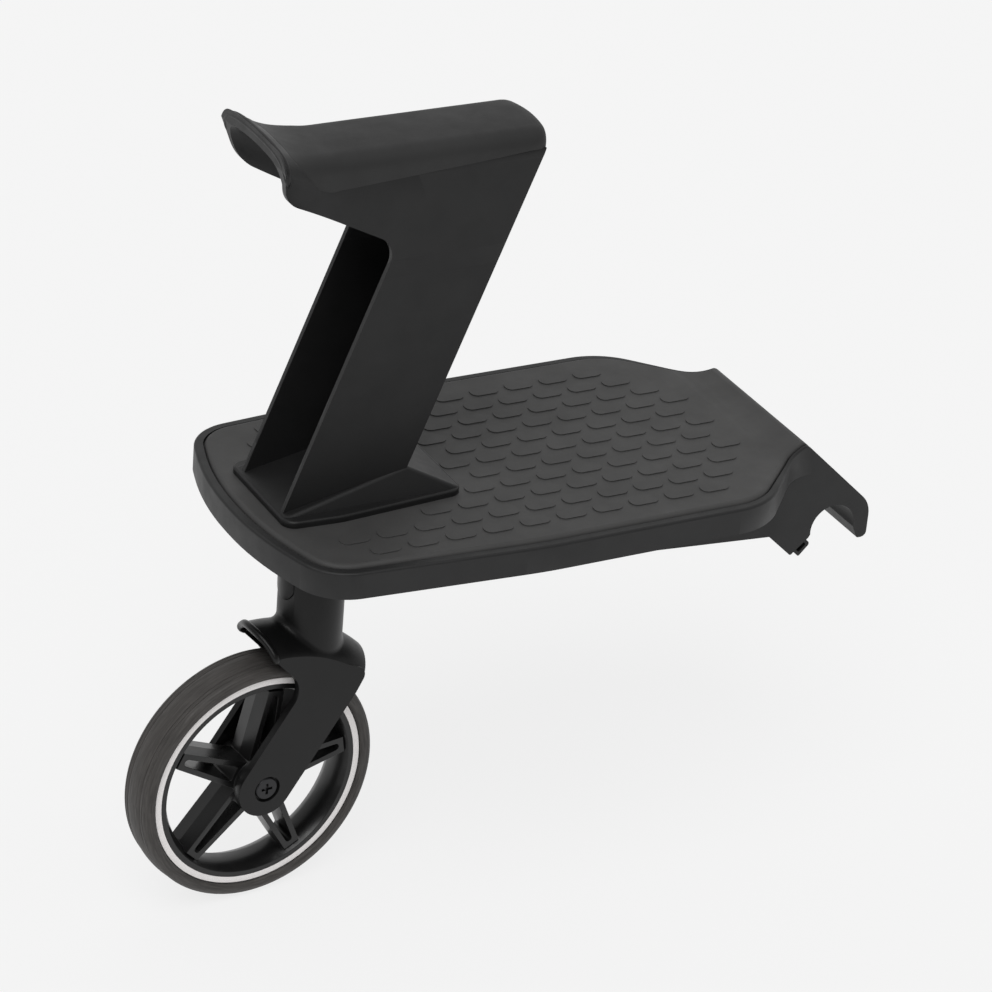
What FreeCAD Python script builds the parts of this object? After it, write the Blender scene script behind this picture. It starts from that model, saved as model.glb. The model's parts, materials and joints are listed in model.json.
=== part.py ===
import FreeCAD, Part
import math
import os
from types import SimpleNamespace

# Buggy board with a seat: a deck that hooks on a pushchair's rear axle and rolls on one caster wheel.
# The origin is on the axis of the hook's arch at mid-width. +X points to the pushchair, +Z up, +Y left.

V = FreeCAD.Vector
doc = FreeCAD.newDocument("buggy_board")

# Driving sizes: name, value in millimetres or degrees, and what it measures.
SIZES = [
    # deck and mat
    ("mat_top", 56.8, "standing surface above the hook's axis"),
    ("mat_thickness", 3.5, "mat without its pads"),
    ("pad_height", 0.6, "raised pads on the mat"),
    ("pad_length", 17.6, "pad along the deck"),
    ("pad_width", 9.6, "pad across the deck"),
    ("pad_corner", 4.2, "corner radius of a pad"),
    ("pad_pitch", 23.1, "pad to pad along a row"),
    ("pad_row_pitch", 15.0, "row to row"),
    ("pad_rows", 11, "rows of pads across the deck"),
    ("pad_first_x", 66.2, "hook axis to the middle of the first pads"),
    ("pad_margin", 7.0, "plain border round the pads"),
    ("plate_thickness", 3.2, "deck plate under the mat"),
    ("rim_drop", 1.5, "rim's edge below the mat"),
    ("rim_depth", 16.0, "height of the rim's wall"),
    ("rim_width", 5.2, "width of the rim's top face"),
    ("rim_edge_radius", 1.6, "rounding of the rim's outer edge"),
    ("mat_edge_radius", 3.0, "rolled edge of the mat"),
    ("mat_neck_x", 33.0, "hook axis to the bend of the mat's edge at the hook"),
    ("mat_neck_radius", 33.0, "radius of that bend"),
    ("mat_side", 2.4, "side of the hook beyond the mat"),
    ("groove_width", 0.9, "dark line between mat and rim"),
    ("skirt_wall", 3.2, "wall of the rim under the plate"),
    ("deck_end", 368.8, "hook axis to the wheel end"),
    ("deck_end_flat", 33.7, "half of the flattest stretch of the wheel end"),
    ("deck_end_radius", 210.0, "bow of the wheel end"),
    ("corner_x", 351.5, "hook axis to the wheel-end corners"),
    ("corner_half_width", 91.1, "half width at those corners"),
    ("corner_radius", 31.0, "radius of those corners"),
    ("taper_x", 222.0, "hook axis to where the deck stops widening"),
    ("taper_radius", 300.0, "softness of that bend"),
    ("deck_half_width", 101.3, "half of the deck's width"),
    ("shoulder_x", 78.0, "hook axis to the shoulders"),
    ("shoulder_radius", 45.0, "radius of the shoulders"),
    ("neck_x", 33.0, "hook axis to where deck and hook meet"),
    ("neck_radius", 30.0, "radius of that inner corner"),
    ("keel_wall", 3.6, "side plates of the keel"),
    ("rib_thickness", 2.6, "ribs under the deck"),
    ("rib_pitch", 45.0, "cross rib to cross rib"),
    ("keel_mid_x", 123.0, "hook axis to the keel's bend"),
    ("keel_mid_z", 7.9, "keel's edge there"),
    ("keel_end_x", 284.0, "hook axis to the keel's end"),
    ("keel_end_z", 33.0, "keel's edge there"),
    ("keel_end_radius", 6.0, "rounding of the keel's end"),
    ("core_front_x", 60.0, "hook axis to the end of the coring"),
    # hook and latch
    ("arch_radius", 15.0, "arch that sits on the axle tube"),
    ("hook_half_width", 53.0, "half of the hook's width"),
    ("crest_x", 26.6, "hook axis to the crest"),
    ("crest_rise", 4.4, "crest above the mat, before its rounding"),
    ("crest_radius", 6.0, "rounding of the crest"),
    ("lip_length", 23.1, "mat's sweep up to the crest"),
    ("hook_front", 25.0, "hook axis to the front of the hook"),
    ("slope_foot_z", 11.9, "foot of the front slope above the axis"),
    ("hook_shoulder_radius", 18.0, "rounding at the foot of the slope"),
    ("tip_drop", 10.4, "tip below the axis"),
    ("tip_inner", 18.6, "axis to the inner side of the tip"),
    ("tip_radius", 3.6, "rounding of the tip"),
    ("arch_end_drop", 2.0, "ends of the arch below the axis"),
    ("jaw_angle", 43.5, "slope of the jaw below level"),
    ("jaw_bottom", 28.7, "jaw's underside from the axis"),
    ("jaw_end", 8.9, "jaw's end face behind the axis, along the slope"),
    ("jaw_root_z", 1.9, "root of the jaw above the axis"),
    ("jaw_chamfer", 1.5, "bevel of the jaw's end"),
    ("jaw_edge_radius", 1.2, "rounding of the jaw's edges"),
    ("latch_thickness", 10.5, "sliding latch"),
    ("latch_length", 40.0, "sliding latch along its travel"),
    ("latch_out", 5.6, "latch beyond the jaw's end when open"),
    ("latch_travel", 14.0, "travel that closes the hook"),
    ("latch_fit", 0.2, "clearance of the latch in its slot"),
    ("latch_gap", 0.4, "latch below the axle tube"),
    ("latch_cheek", 1.6, "closed sides of the slot"),
    ("latch_core", 8.0, "depth of the cored sides"),
    ("latch_wall", 2.0, "wall round the cores"),
    ("notch_half_width", 18.0, "finger notch under the latch"),
    ("stop_screw_y", 30.0, "stop screws from the middle"),
    ("stop_screw_d", 4.0, "stop screws"),
    ("stop_screw_back", 22.0, "stop screws behind the axis, along the slope"),
    # seat
    ("seat_wall", 3.2, "wall of the seat shell"),
    ("cover_thickness", 4.0, "saddle cover"),
    ("post_half_width", 27.0, "half of the post's width"),
    ("post_lean", 21.4, "lean of the post from upright"),
    ("post_rear_x", 349.8, "hook axis to the post's rear foot"),
    ("post_length", 69.0, "post along the deck at its foot"),
    ("flare_z", 195.0, "where the post's sides start to flare"),
    ("saddle_top", 269.0, "top of the saddle above the axis"),
    ("saddle_half_width", 27.0, "half of the saddle's width"),
    ("saddle_flange_z", 254.0, "foot of the rounded shoulders of the saddle"),
    ("lip_start_x", 322.0, "hook axis to where the rear lip starts"),
    ("lip_end_x", 364.6, "hook axis to the end of the rear lip"),
    ("lip_half_width", 41.0, "half of the lip's width"),
    ("lip_rise", 12.5, "lip above the saddle"),
    ("lip_flange_rise", 17.5, "lip's corners above that line"),
    ("under_bend_z", 214.0, "where post and saddle's underside meet"),
    ("under_radius", 13.0, "inner corner there"),
    ("under_rear_x", 359.0, "hook axis to the lower rear corner of the saddle"),
    ("under_rear_z", 250.0, "that corner above the axis"),
    ("under_rear_radius", 20.0, "rounding of that corner"),
    ("nose_radius", 8.0, "rounding of the saddle's nose"),
    ("seam_bend_x", 336.0, "hook axis to the bend of the seam"),
    ("seam_bend_z", 250.2, "bend of the seam above the axis"),
    ("seam_slope", 3.8, "rise of the seam to the nose"),
    ("seam_rear_angle", 51.5, "rise of the seam to the lip"),
    ("seam_radius", 18.0, "bend of the seam"),
    ("seam_margin", 9.0, "seam from the end of the rear lip"),
    ("foot_height", 4.0, "edge band of the foot"),
    ("foot_rear_x", 351.0, "hook axis to the foot's rear edge"),
    ("foot_front_x", 240.0, "hook axis to the foot's front edge"),
    ("foot_rear_half", 38.0, "half width of the foot at the rear"),
    ("foot_mid_x", 318.0, "hook axis to the foot's widest line"),
    ("foot_mid_half", 40.3, "half of the foot's greatest width"),
    ("foot_front_half", 34.0, "half width of the foot at the front"),
    ("foot_corner", 8.0, "corner radius of the foot"),
    ("foot_inset", 1.6, "facets inside the edge band"),
    ("foot_bend", 60.0, "softness of the foot's widest line"),
    ("foot_peak", 16.0, "peak of the facets above the edge band"),
    ("foot_edge_radius", 1.4, "rounding of the edge band"),
    ("foot_ridge_radius", 2.5, "rounding of the facets' ridges"),
    ("seat_screw_d", 5.0, "seat screws"),
    ("seat_screw_head_d", 9.0, "heads of the seat screws"),
    ("seat_screw_head", 3.0, "thickness of those heads"),
    ("seat_screw_depth", 5.0, "screw's hold in the foot"),
    ("seat_screw_rear_x", 336.0, "hook axis to the rear seat screws"),
    ("seat_screw_front_x", 262.0, "hook axis to the front seat screws"),
    ("seat_screw_y", 20.0, "seat screws from the middle"),
    # caster
    ("stem_x", 313.9, "hook axis to the swivel axis"),
    ("heading", 5.24, "angle of the caster as photographed"),
    ("trail", 34.8, "axle behind the swivel axis"),
    ("axle_drop", 120.3, "axle below the hook's axis"),
    ("stem_d", 38.2, "stem"),
    ("stem_top", 29.4, "stem's top above the hook's axis"),
    ("stem_bore_d", 24.0, "bore for the bushes"),
    ("stem_bore_end", -26.0, "bottom of that bore"),
    ("stem_fillet", 4.5, "blend of stem and hood"),
    ("leg_inner", 16.5, "inner face of a leg from the middle"),
    ("leg_thickness", 4.7, "leg"),
    ("leg_rear_half", 18.6, "leg's rear edge from the axle"),
    ("leg_front_half", 16.6, "leg's front edge from the axle"),
    ("leg_lean", 35.4, "lean of the legs from upright"),
    ("leg_knee_radius", 20.0, "bend of a leg's front edge"),
    ("leg_front_radius", 6.0, "front corner of a leg under the hood"),
    ("leg_crook_radius", 14.0, "bend of a leg's rear edge"),
    ("leg_top_inset", 7.0, "leg's top ahead of the hood's rear, about the axle"),
    ("well_gap", 4.0, "room round the tyre"),
    ("hood_edge_rise", 5.5, "side edges of the hood above that room"),
    ("hood_rise", 17.0, "top of the hood above that room"),
    ("hood_wall", 4.0, "wall of the hood"),
    ("hood_front_angle", 45.0, "front of the hood, about the axle"),
    ("hood_rear_angle", 97.0, "rear of the hood, about the axle"),
    ("fin_x", 43.2, "tip of the rear fin behind the swivel axis"),
    ("fin_rise", 4.3, "tip of the rear fin above the top of the hood"),
    ("fin_angle", 53.0, "rake of the fin's edge from level"),
    ("kingpin_d", 12.0, "kingpin"),
    ("kingpin_end", -22.0, "lower end of the kingpin"),
    ("kingpin_flange_d", 36.0, "flange of the kingpin"),
    ("kingpin_flange", 3.0, "thickness of the flange"),
    ("kingpin_core_d", 9.0, "core of the catch groove"),
    ("kingpin_screw_d", 4.0, "flange screws"),
    ("kingpin_screw_circle", 13.5, "flange screws from the axis"),
    ("boss_d", 44.0, "boss under the deck"),
    ("boss_gap", 0.2, "boss above the upper bush"),
    ("bush_flange", 2.0, "flange of the upper bush"),
    ("bush_flange_d", 34.0, "its diameter"),
    ("bush_length", 12.0, "each bush"),
    ("running_fit", 0.05, "radial clearance of turning fits"),
    ("catch_z", 8.0, "catch plate above the hook's axis"),
    ("catch_thickness", 1.6, "catch plate"),
    ("catch_half_width", 8.4, "half of its width"),
    ("catch_gap", 0.3, "plate in the groove"),
    ("catch_tab", 6.0, "height of the plate's bent-up tab"),
    ("catch_tab_wall", 1.1, "thickness of the tab"),
    ("button_half_width", 8.5, "half of the button's width"),
    ("button_bottom", -9.0, "lower end of the button"),
    ("button_top", 16.0, "upper end of the button"),
    ("button_corner", 1.0, "rounding of its upper corners"),
    ("button_depth", 5.6, "thickness of the button"),
    ("button_proud", 0.6, "button beyond the stem"),
    ("button_travel", 2.6, "travel of the button"),
    ("button_gap", 0.35, "gap round the button"),
    ("spring_d", 5.0, "button spring"),
    ("spring_wire", 0.7, "its wire"),
    ("spring_turns", 5.0, "its turns"),
    ("spring_pocket", 3.6, "depth of the spring's seat in the stem"),
    ("spring_gap", 0.1, "room at either end of the pressed spring"),
    # wheel
    ("tyre_seat_d", 124.0, "tyre's bed on the rim"),
    ("tyre_height", 14.0, "tyre above its bed"),
    ("tyre_width", 28.0, "tyre's width"),
    ("tyre_seat_width", 17.0, "width of that bed"),
    ("tyre_tread_width", 20.0, "nearly flat part of the tread"),
    ("tread_crown", 1.0, "fall of the tread to its shoulders"),
    ("wall_bulge", 2.2, "bulge of the side walls beyond the rim"),
    ("tyre_groove", 0.7, "fine lines round the shoulders"),
    ("tyre_lines", 2, "lines round each shoulder"),
    ("tyre_line_pitch", 2.8, "line to line"),
    ("flange_height", 5.5, "rim's outer edge above the tyre's bed"),
    ("rim_face_width", 22.6, "rim over its faces"),
    ("rim_mouth_wall", 2.0, "rim under the tyre's bed at its faces"),
    ("rim_barrel_wall", 5.5, "rim under the tyre's bed at the middle"),
    ("rim_barrel_width", 9.0, "straight part of that opening"),
    ("ring_margin", 0.6, "rim outside the reflective ring"),
    ("ring_width", 3.7, "reflective ring"),
    ("ring_thickness", 0.8, "its thickness"),
    ("hub_d", 31.0, "hub"),
    ("hub_width", 30.0, "hub"),
    ("bearing_d", 22.0, "wheel bearing"),
    ("bearing_width", 7.0, "wheel bearing"),
    ("hub_bore_d", 18.0, "hub between the bearings"),
    ("spoke_count", 5, "double spokes"),
    ("spoke_angle", 8.5, "first spoke from the heading"),
    ("spoke_hub_width", 18.8, "spoke's parting line at the hub"),
    ("spoke_rim_width", 12.4, "spoke's parting line at the rim"),
    ("spoke_draft", 6.0, "slope of its flanks to either face"),
    ("spoke_depth", 20.0, "spoke along the axle"),
    ("spoke_rib", 4.4, "ribs of a spoke at the parting line"),
    ("spoke_bridge", 2.2, "hub and rim beyond the slot between the ribs"),
    ("slot_corner", 1.0, "rounding of the slot's inner corners"),
    ("axle_d", 8.0, "axle barrel"),
    ("axle_screw_d", 5.0, "axle screw"),
    ("axle_screw_length", 14.0, "its hold in the barrel"),
    ("cross_recess", 1.4, "depth of its cross recess"),
    ("axle_head_d", 14.0, "heads of the axle"),
    ("axle_head", 2.0, "thickness of the heads"),
    ("axle_recess_d", 16.4, "recess round the heads"),
    ("axle_recess", 2.4, "depth of that recess"),
    ("washer_d", 13.0, "axle washers"),
    ("spacer_d", 12.0, "spacer between the bearings"),
]

sheet = doc.addObject("Spreadsheet::Sheet", "Sizes")
for row, (name, value, note) in enumerate(SIZES, start=1):
    sheet.set(f"A{row}", note)
    sheet.set(f"B{row}", str(value))
    sheet.setAlias(f"B{row}", name)
doc.recompute()
v = SimpleNamespace(**{name: float(sheet.get(name)) for name, value, note in SIZES})

# Heights and places that follow from the driving sizes.
plate_top = v.mat_top - v.mat_thickness
plate_bottom = plate_top - v.plate_thickness
rim_top = v.mat_top - v.rim_drop
rim_bottom = rim_top - v.rim_depth
boss_bottom = v.stem_top + v.bush_flange + v.boss_gap
crest_z = v.mat_top + v.crest_rise
sweep_x = -v.crest_x - v.lip_length
leg_outer = v.leg_inner + v.leg_thickness
stem_r = v.stem_d / 2
spring_z = v.catch_z + v.catch_tab / 2
latch_high = -(v.arch_radius + v.latch_gap)
latch_low = latch_high - v.latch_thickness
lean = math.tan(math.radians(v.post_lean))
foot_top = v.mat_top + v.foot_height
tyre_r = v.tyre_seat_d / 2 + v.tyre_height
flange_r = v.tyre_seat_d / 2 + v.flange_height
barrel_r = v.tyre_seat_d / 2 - v.rim_barrel_wall
ring_outer_r = flange_r - v.ring_margin
ring_inner_r = ring_outer_r - v.ring_width
well_r = tyre_r + v.well_gap
hood_edge_r = well_r + v.hood_edge_rise
hood_r = well_r + v.hood_rise
fin_z = hood_r + v.fin_rise - v.axle_drop
FAR = 500.0

# Frames: the standing part, the jaw's slope, the caster and the wheel.
UPRIGHT = FreeCAD.Placement()
JAW = FreeCAD.Placement(V(), FreeCAD.Rotation(V(0, 1, 0), v.jaw_angle))
CASTER = FreeCAD.Placement(V(-v.stem_x, 0, 0), FreeCAD.Rotation(V(0, 0, 1), v.heading))
WHEEL = CASTER.multiply(FreeCAD.Placement(V(-v.trail, 0, -v.axle_drop), FreeCAD.Rotation()))
ON_XZ = FreeCAD.Rotation(V(1, 0, 0), 90)
ON_YZ = FreeCAD.Rotation(V(1, 1, 1), 120)
ALONG_X = FreeCAD.Rotation(V(0, 1, 0), 90)
UPRIGHT_XZ = FreeCAD.Placement(V(), ON_XZ)

pieces = []


def keep(thing, label, place=UPRIGHT):
    """Name a finished piece and put it where it belongs."""
    thing.Label = label
    thing.Placement = place
    pieces.append(thing)
    return thing


def outline(corners):
    """Closed outline through (x, y, radius) corners; a rounding ends where its straight sides end."""
    rounds = []
    count = len(corners)
    points = [V(x, y, 0) for x, y, radius in corners]
    halves = []
    for i, here in enumerate(points):
        halves.append((points[i - 1] - here).getAngle(points[(i + 1) % count] - here) / 2)
    reaches = [radius / math.tan(half) for (x, y, radius), half in zip(corners, halves)]
    for i, here in enumerate(points):
        room = 1.0
        for j in (i - 1, (i + 1) % count):
            wanted = reaches[i] + reaches[j]
            if wanted:
                room = min(room, here.distanceToPoint(points[j]) / wanted)
        reach = reaches[i] * room
        radius = corners[i][2] * room
        back = (points[i - 1] - here).normalize()
        ahead = (points[(i + 1) % count] - here).normalize()
        inward = (back + ahead).normalize() if radius else V()
        middle = here + inward * (radius / math.sin(halves[i]) - radius)
        rounds.append((here + back * reach, middle, here + ahead * reach, radius))
    segments = []
    for i, (start, middle, end, radius) in enumerate(rounds):
        if radius:
            segments.append(Part.Arc(start, middle, end))
        following = rounds[(i + 1) % count][0]
        if end.distanceToPoint(following) > 1e-6:
            segments.append(Part.LineSegment(end, following))
    return segments


def grown(corners, distance):
    """The same outline, drawn anticlockwise, moved outwards by a distance."""
    moved = []
    count = len(corners)
    for i, (x, y, radius) in enumerate(corners):
        here = V(x, y, 0)
        into = (here - V(*corners[i - 1][:2], 0)).normalize()
        out = (V(*corners[(i + 1) % count][:2], 0) - here).normalize()
        turn = into.x * out.y - into.y * out.x
        shift = (V(into.y, -into.x, 0) + V(out.y, -out.x, 0)) * (distance / (1 + into.dot(out)))
        size = max(0.0, radius + distance * math.copysign(1.0, turn)) if radius else 0.0
        moved.append((x + shift.x, y + shift.y, size))
    return moved


def mirrored(half):
    """A near-side row of corners and its mirror image, as one closed outline."""
    return half + [(x, -y, r) for x, y, r in reversed(half)]


def polygon(points):
    """Closed outline through sharp corners."""
    return outline([(x, y, 0.0) for x, y in points])


def circle(x, y, radius):
    """Closed round outline."""
    return [Part.Circle(V(x, y, 0), V(0, 0, 1), radius)]


def profile(name, segments, place=UPRIGHT):
    """A sketch that stands by itself."""
    sketch = doc.addObject("Sketcher::SketchObject", name)
    sketch.addGeometry(segments, False)
    sketch.Placement = place
    return sketch


def at(x, y, z, turn=FreeCAD.Rotation()):
    """A placement."""
    return FreeCAD.Placement(V(x, y, z), turn)


def at_height(z):
    return at(0, 0, z)


def extruded(name, sketch, length, symmetric=False):
    """A sketch drawn out along its normal by a size of the sheet."""
    solid = doc.addObject("Part::Extrusion", name)
    solid.Base = sketch
    solid.DirMode = "Normal"
    solid.Solid = True
    solid.Symmetric = symmetric
    solid.setExpression("LengthFwd", length)
    return solid


def cylinder(name, radius, height, place):
    """A cylinder whose radius and height are sizes of the sheet."""
    solid = doc.addObject("Part::Cylinder", name)
    solid.setExpression("Radius", radius)
    solid.setExpression("Height", height)
    solid.Placement = place
    return solid


def block(name, low, high, place=UPRIGHT):
    """A box between two corners."""
    solid = doc.addObject("Part::Box", name)
    solid.Length = high[0] - low[0]
    solid.Width = high[1] - low[1]
    solid.Height = high[2] - low[2]
    solid.Placement = place.multiply(FreeCAD.Placement(V(*low), FreeCAD.Rotation()))
    return solid


def fused(name, solids):
    joined = doc.addObject("Part::MultiFuse", name)
    joined.Shapes = solids
    return joined


def common(name, solids):
    shared = doc.addObject("Part::MultiCommon", name)
    shared.Shapes = solids
    return shared


def cut(name, base, tools):
    """What is left of a solid when others are taken from it."""
    rest = doc.addObject("Part::Cut", name)
    rest.Base = base
    rest.Tool = tools[0] if len(tools) == 1 else fused(name + "_tools", tools)
    return rest


def new_body(name):
    return doc.addObject("PartDesign::Body", name)


def body_sketch(body, name, role, segments, offset=0.0):
    """A sketch on one of a body's own planes."""
    sketch = body.newObject("Sketcher::SketchObject", name)
    plane = [f for f in body.Origin.OriginFeatures if f.Role == role][0]
    sketch.AttachmentSupport = [(plane, "")]
    sketch.MapMode = "FlatFace"
    sketch.AttachmentOffset = at_height(offset)
    sketch.addGeometry(segments, False)
    return sketch


def body_feature(body, kind, name, sketch, length=None, **settings):
    """A pad, pocket or revolution from a sketch, its length bound to the sheet."""
    feature = body.newObject("PartDesign::" + kind, name)
    feature.Profile = sketch
    for key, value in settings.items():
        setattr(feature, key, value)
    if length:
        feature.setExpression("Length", length)
    return feature


def turned(label, segments, role, place, finished=True):
    """A body of revolution about its sketch's upright axis; one that isn't finished is cut further."""
    body = new_body(label)
    sketch = body_sketch(body, label + "_section", role, segments)
    body_feature(body, "Revolution", label + "_turn", sketch, ReferenceAxis=(sketch, ["V_Axis"]), Angle=360)
    if finished:
        return keep(body, label, place)
    body.Placement = place
    return body


# Deck

def deck_corners():
    """Plan of the deck's rim, from the wheel end on past the hook's crest."""
    return mirrored([
        (-v.deck_end, -v.deck_end_flat, v.deck_end_radius),
        (-v.corner_x, -v.corner_half_width, v.corner_radius),
        (-v.taper_x, -v.deck_half_width, v.taper_radius),
        (-v.shoulder_x, -v.deck_half_width, v.shoulder_radius),
        (-v.neck_x, -v.hook_half_width, v.neck_radius),
        (v.hook_front, -v.hook_half_width, 0.0),
    ])


def on_slope(along, across):
    """A point given along the jaw's slope and square to it, in side view."""
    angle = math.radians(v.jaw_angle)
    x = along * math.cos(angle) + across * math.sin(angle)
    return x, across * math.cos(angle) - along * math.sin(angle)


def lip_arc(start_x, start_z, end_x, end_z):
    """Upward sweep that leaves the level tangentially."""
    radius = ((end_x - start_x) ** 2 + (end_z - start_z) ** 2) / (2 * (end_z - start_z))
    half = (end_x - start_x) / 2
    middle = V(start_x + half, start_z + radius - math.sqrt(radius ** 2 - half ** 2), 0)
    return Part.Arc(V(start_x, start_z, 0), middle, V(end_x, end_z, 0))


def slope_x(z):
    """The hook's front slope at a height."""
    return -v.crest_x + (crest_z - z) * (v.hook_front + v.crest_x) / (crest_z - v.slope_foot_z)


def swept_side(bottom, level, crest):
    """Side view of rim or mat: level, then swept up to the crest and ended by the front slope."""
    back = -v.deck_end - v.rim_width
    corners = [V(sweep_x, level, 0), V(back, level, 0), V(back, bottom, 0), V(slope_x(bottom), bottom, 0),
               V(slope_x(crest), crest, 0)]
    straight = [Part.LineSegment(a, b) for a, b in zip(corners, corners[1:])]
    return straight + [lip_arc(sweep_x, level, slope_x(crest), crest)]


def hook_side():
    """Side view of keel, hook and jaw, up into the rim."""
    arch_x = math.sqrt(v.arch_radius ** 2 - v.arch_end_drop ** 2)
    slope = math.radians(v.jaw_angle)
    root_x = -(v.jaw_bottom + v.jaw_root_z * math.cos(slope)) / math.sin(slope)
    joint_z = (rim_bottom + plate_bottom) / 2
    segments = outline([
        (-v.keel_end_x, joint_z, 0.0),
        (-v.keel_end_x, v.keel_end_z, v.keel_end_radius),
        (-v.keel_mid_x, v.keel_mid_z, 0.0),
        (root_x, v.jaw_root_z, 0.0),
        (*on_slope(-v.jaw_end - v.jaw_chamfer, -v.jaw_bottom), v.jaw_edge_radius),
        (*on_slope(-v.jaw_end, latch_high + v.jaw_chamfer), v.jaw_edge_radius / 2),
        (-arch_x, -v.arch_end_drop, 0.0),
        (arch_x, -v.arch_end_drop, 0.0),
        (v.tip_inner, -v.tip_drop, v.tip_radius / 2),
        (v.hook_front, -v.tip_drop, v.tip_radius),
        (v.hook_front, v.slope_foot_z, v.hook_shoulder_radius),
        (slope_x(joint_z), joint_z, 0.0),
    ])
    ends = [V(-arch_x, -v.arch_end_drop, 0), V(arch_x, -v.arch_end_drop, 0)]
    arch = Part.Arc(ends[0], V(0, v.arch_radius, 0), ends[1])
    return [s for s in segments if not joins(s, *ends)] + [arch]


def joins(segment, start, end):
    """True for the straight segment between two points."""
    near = segment.StartPoint.distanceToPoint(start) < 1e-6
    return near and segment.EndPoint.distanceToPoint(end) < 1e-6


def mat_corners(distance=0.0):
    """Plan of the mat, whose edge nears the hook's sides at the crest; a distance gives its tray."""
    inner = grown(deck_corners(), -v.rim_width - v.groove_width)
    y = v.mat_side - v.hook_half_width
    half = inner[:4] + [(-v.mat_neck_x, y, v.mat_neck_radius), (v.hook_front, y, 0.0)]
    return grown(mirrored(half), distance)


def top_rounds(shape, level, radius):
    """Edges round a top, as numbers and radii: the crest has its own, the start of the sweep none."""
    rounds = []
    for number, edge in enumerate(shape.Edges, start=1):
        box = edge.BoundBox
        if box.ZMin < level - 1e-4:
            continue
        if box.XLength < 1e-4 and abs(box.XMin - sweep_x) < 1e-4:
            continue
        on_crest = box.XLength < 1e-4 and box.ZMin > level + 1e-4
        rounds.append((number, v.crest_radius if on_crest else radius))
    return rounds


def rounded(name, base, rounds):
    """A solid with some of its edges, given by number and radius, rounded."""
    soft = doc.addObject("Part::Fillet", name)
    soft.Base = base
    soft.Edges = [(number, radius, radius) for number, radius in rounds]
    return soft


def swept_block(name, corners, bottom, level, crest):
    """What a plan and a swept side view have in common."""
    plan = extruded(name + "_plan_block", profile(name + "_plan", outline(corners), at_height(bottom)),
                    "2 * Sizes.rim_depth")
    view = profile(name + "_side", swept_side(bottom, level, crest), UPRIGHT_XZ)
    side = extruded(name + "_side_block", view, "4 * Sizes.deck_half_width", symmetric=True)
    solid = common(name, [plan, side])
    doc.recompute()
    return solid


def screw_places():
    """Seat screws: two rows of two."""
    rows = (v.seat_screw_rear_x, v.seat_screw_front_x)
    return [(-x, y) for x in rows for y in (-v.seat_screw_y, v.seat_screw_y)]


def deck_ribs(bottom):
    """Walls left standing under the plate: keel plates, ribs and screw bosses."""
    ribs = [block("centre_rib", (-FAR, -v.rib_thickness / 2, bottom), (0, v.rib_thickness / 2, FAR))]
    for side_sign in (-1, 1):
        y = side_sign * (v.hook_half_width - v.keel_wall / 2)
        ribs.append(block("keel_plate", (-FAR, y - v.keel_wall / 2, bottom), (0, y + v.keel_wall / 2, FAR)))
    rib_x = -v.core_front_x - v.rib_pitch
    while rib_x > -v.deck_end + v.rib_pitch:
        low = rib_x - v.rib_thickness / 2
        ribs.append(block("cross_rib", (low, -FAR, bottom), (low + v.rib_thickness, FAR, FAR)))
        rib_x -= v.rib_pitch
    ribs.append(cylinder("boss_core", "Sizes.boss_d / 2", f"{FAR}", at(-v.stem_x, 0, bottom)))
    for x, y in screw_places():
        ribs.append(cylinder("screw_boss", "Sizes.seat_screw_head_d / 2 + Sizes.rib_thickness", f"{FAR}",
                             at(x, y, bottom)))
    return ribs


def deck_holes():
    """Kingpin's seat and the holes for all screws."""
    holes = [
        cylinder("kingpin_bore", "Sizes.kingpin_d / 2", f"{FAR}", at(-v.stem_x, 0, 0)),
        cylinder("flange_seat", "Sizes.kingpin_flange_d / 2 + Sizes.latch_fit", f"{FAR}",
                 at(-v.stem_x, 0, plate_top - v.kingpin_flange)),
    ]
    for x, y in flange_screw_places():
        holes.append(cylinder("flange_screw_hole", "Sizes.kingpin_screw_d / 2", f"{FAR}",
                              at(x, y, boss_bottom + v.bush_flange)))
    for x, y in screw_places():
        holes.append(cylinder("seat_screw_hole", "Sizes.seat_screw_d / 2", f"{FAR}", at(x, y, 0)))
        holes.append(cylinder("screw_head_seat", "Sizes.seat_screw_head_d / 2 + Sizes.latch_fit",
                              f"{rim_bottom}", at(x, y, 0)))
    for side_sign in (-1, 1):
        place = at(-v.stop_screw_back, side_sign * v.stop_screw_y, -v.jaw_bottom - v.latch_wall)
        holes.append(cylinder("stop_screw_hole", "Sizes.stop_screw_d / 2", "Sizes.latch_thickness",
                              JAW.multiply(place)))
    return holes


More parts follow.
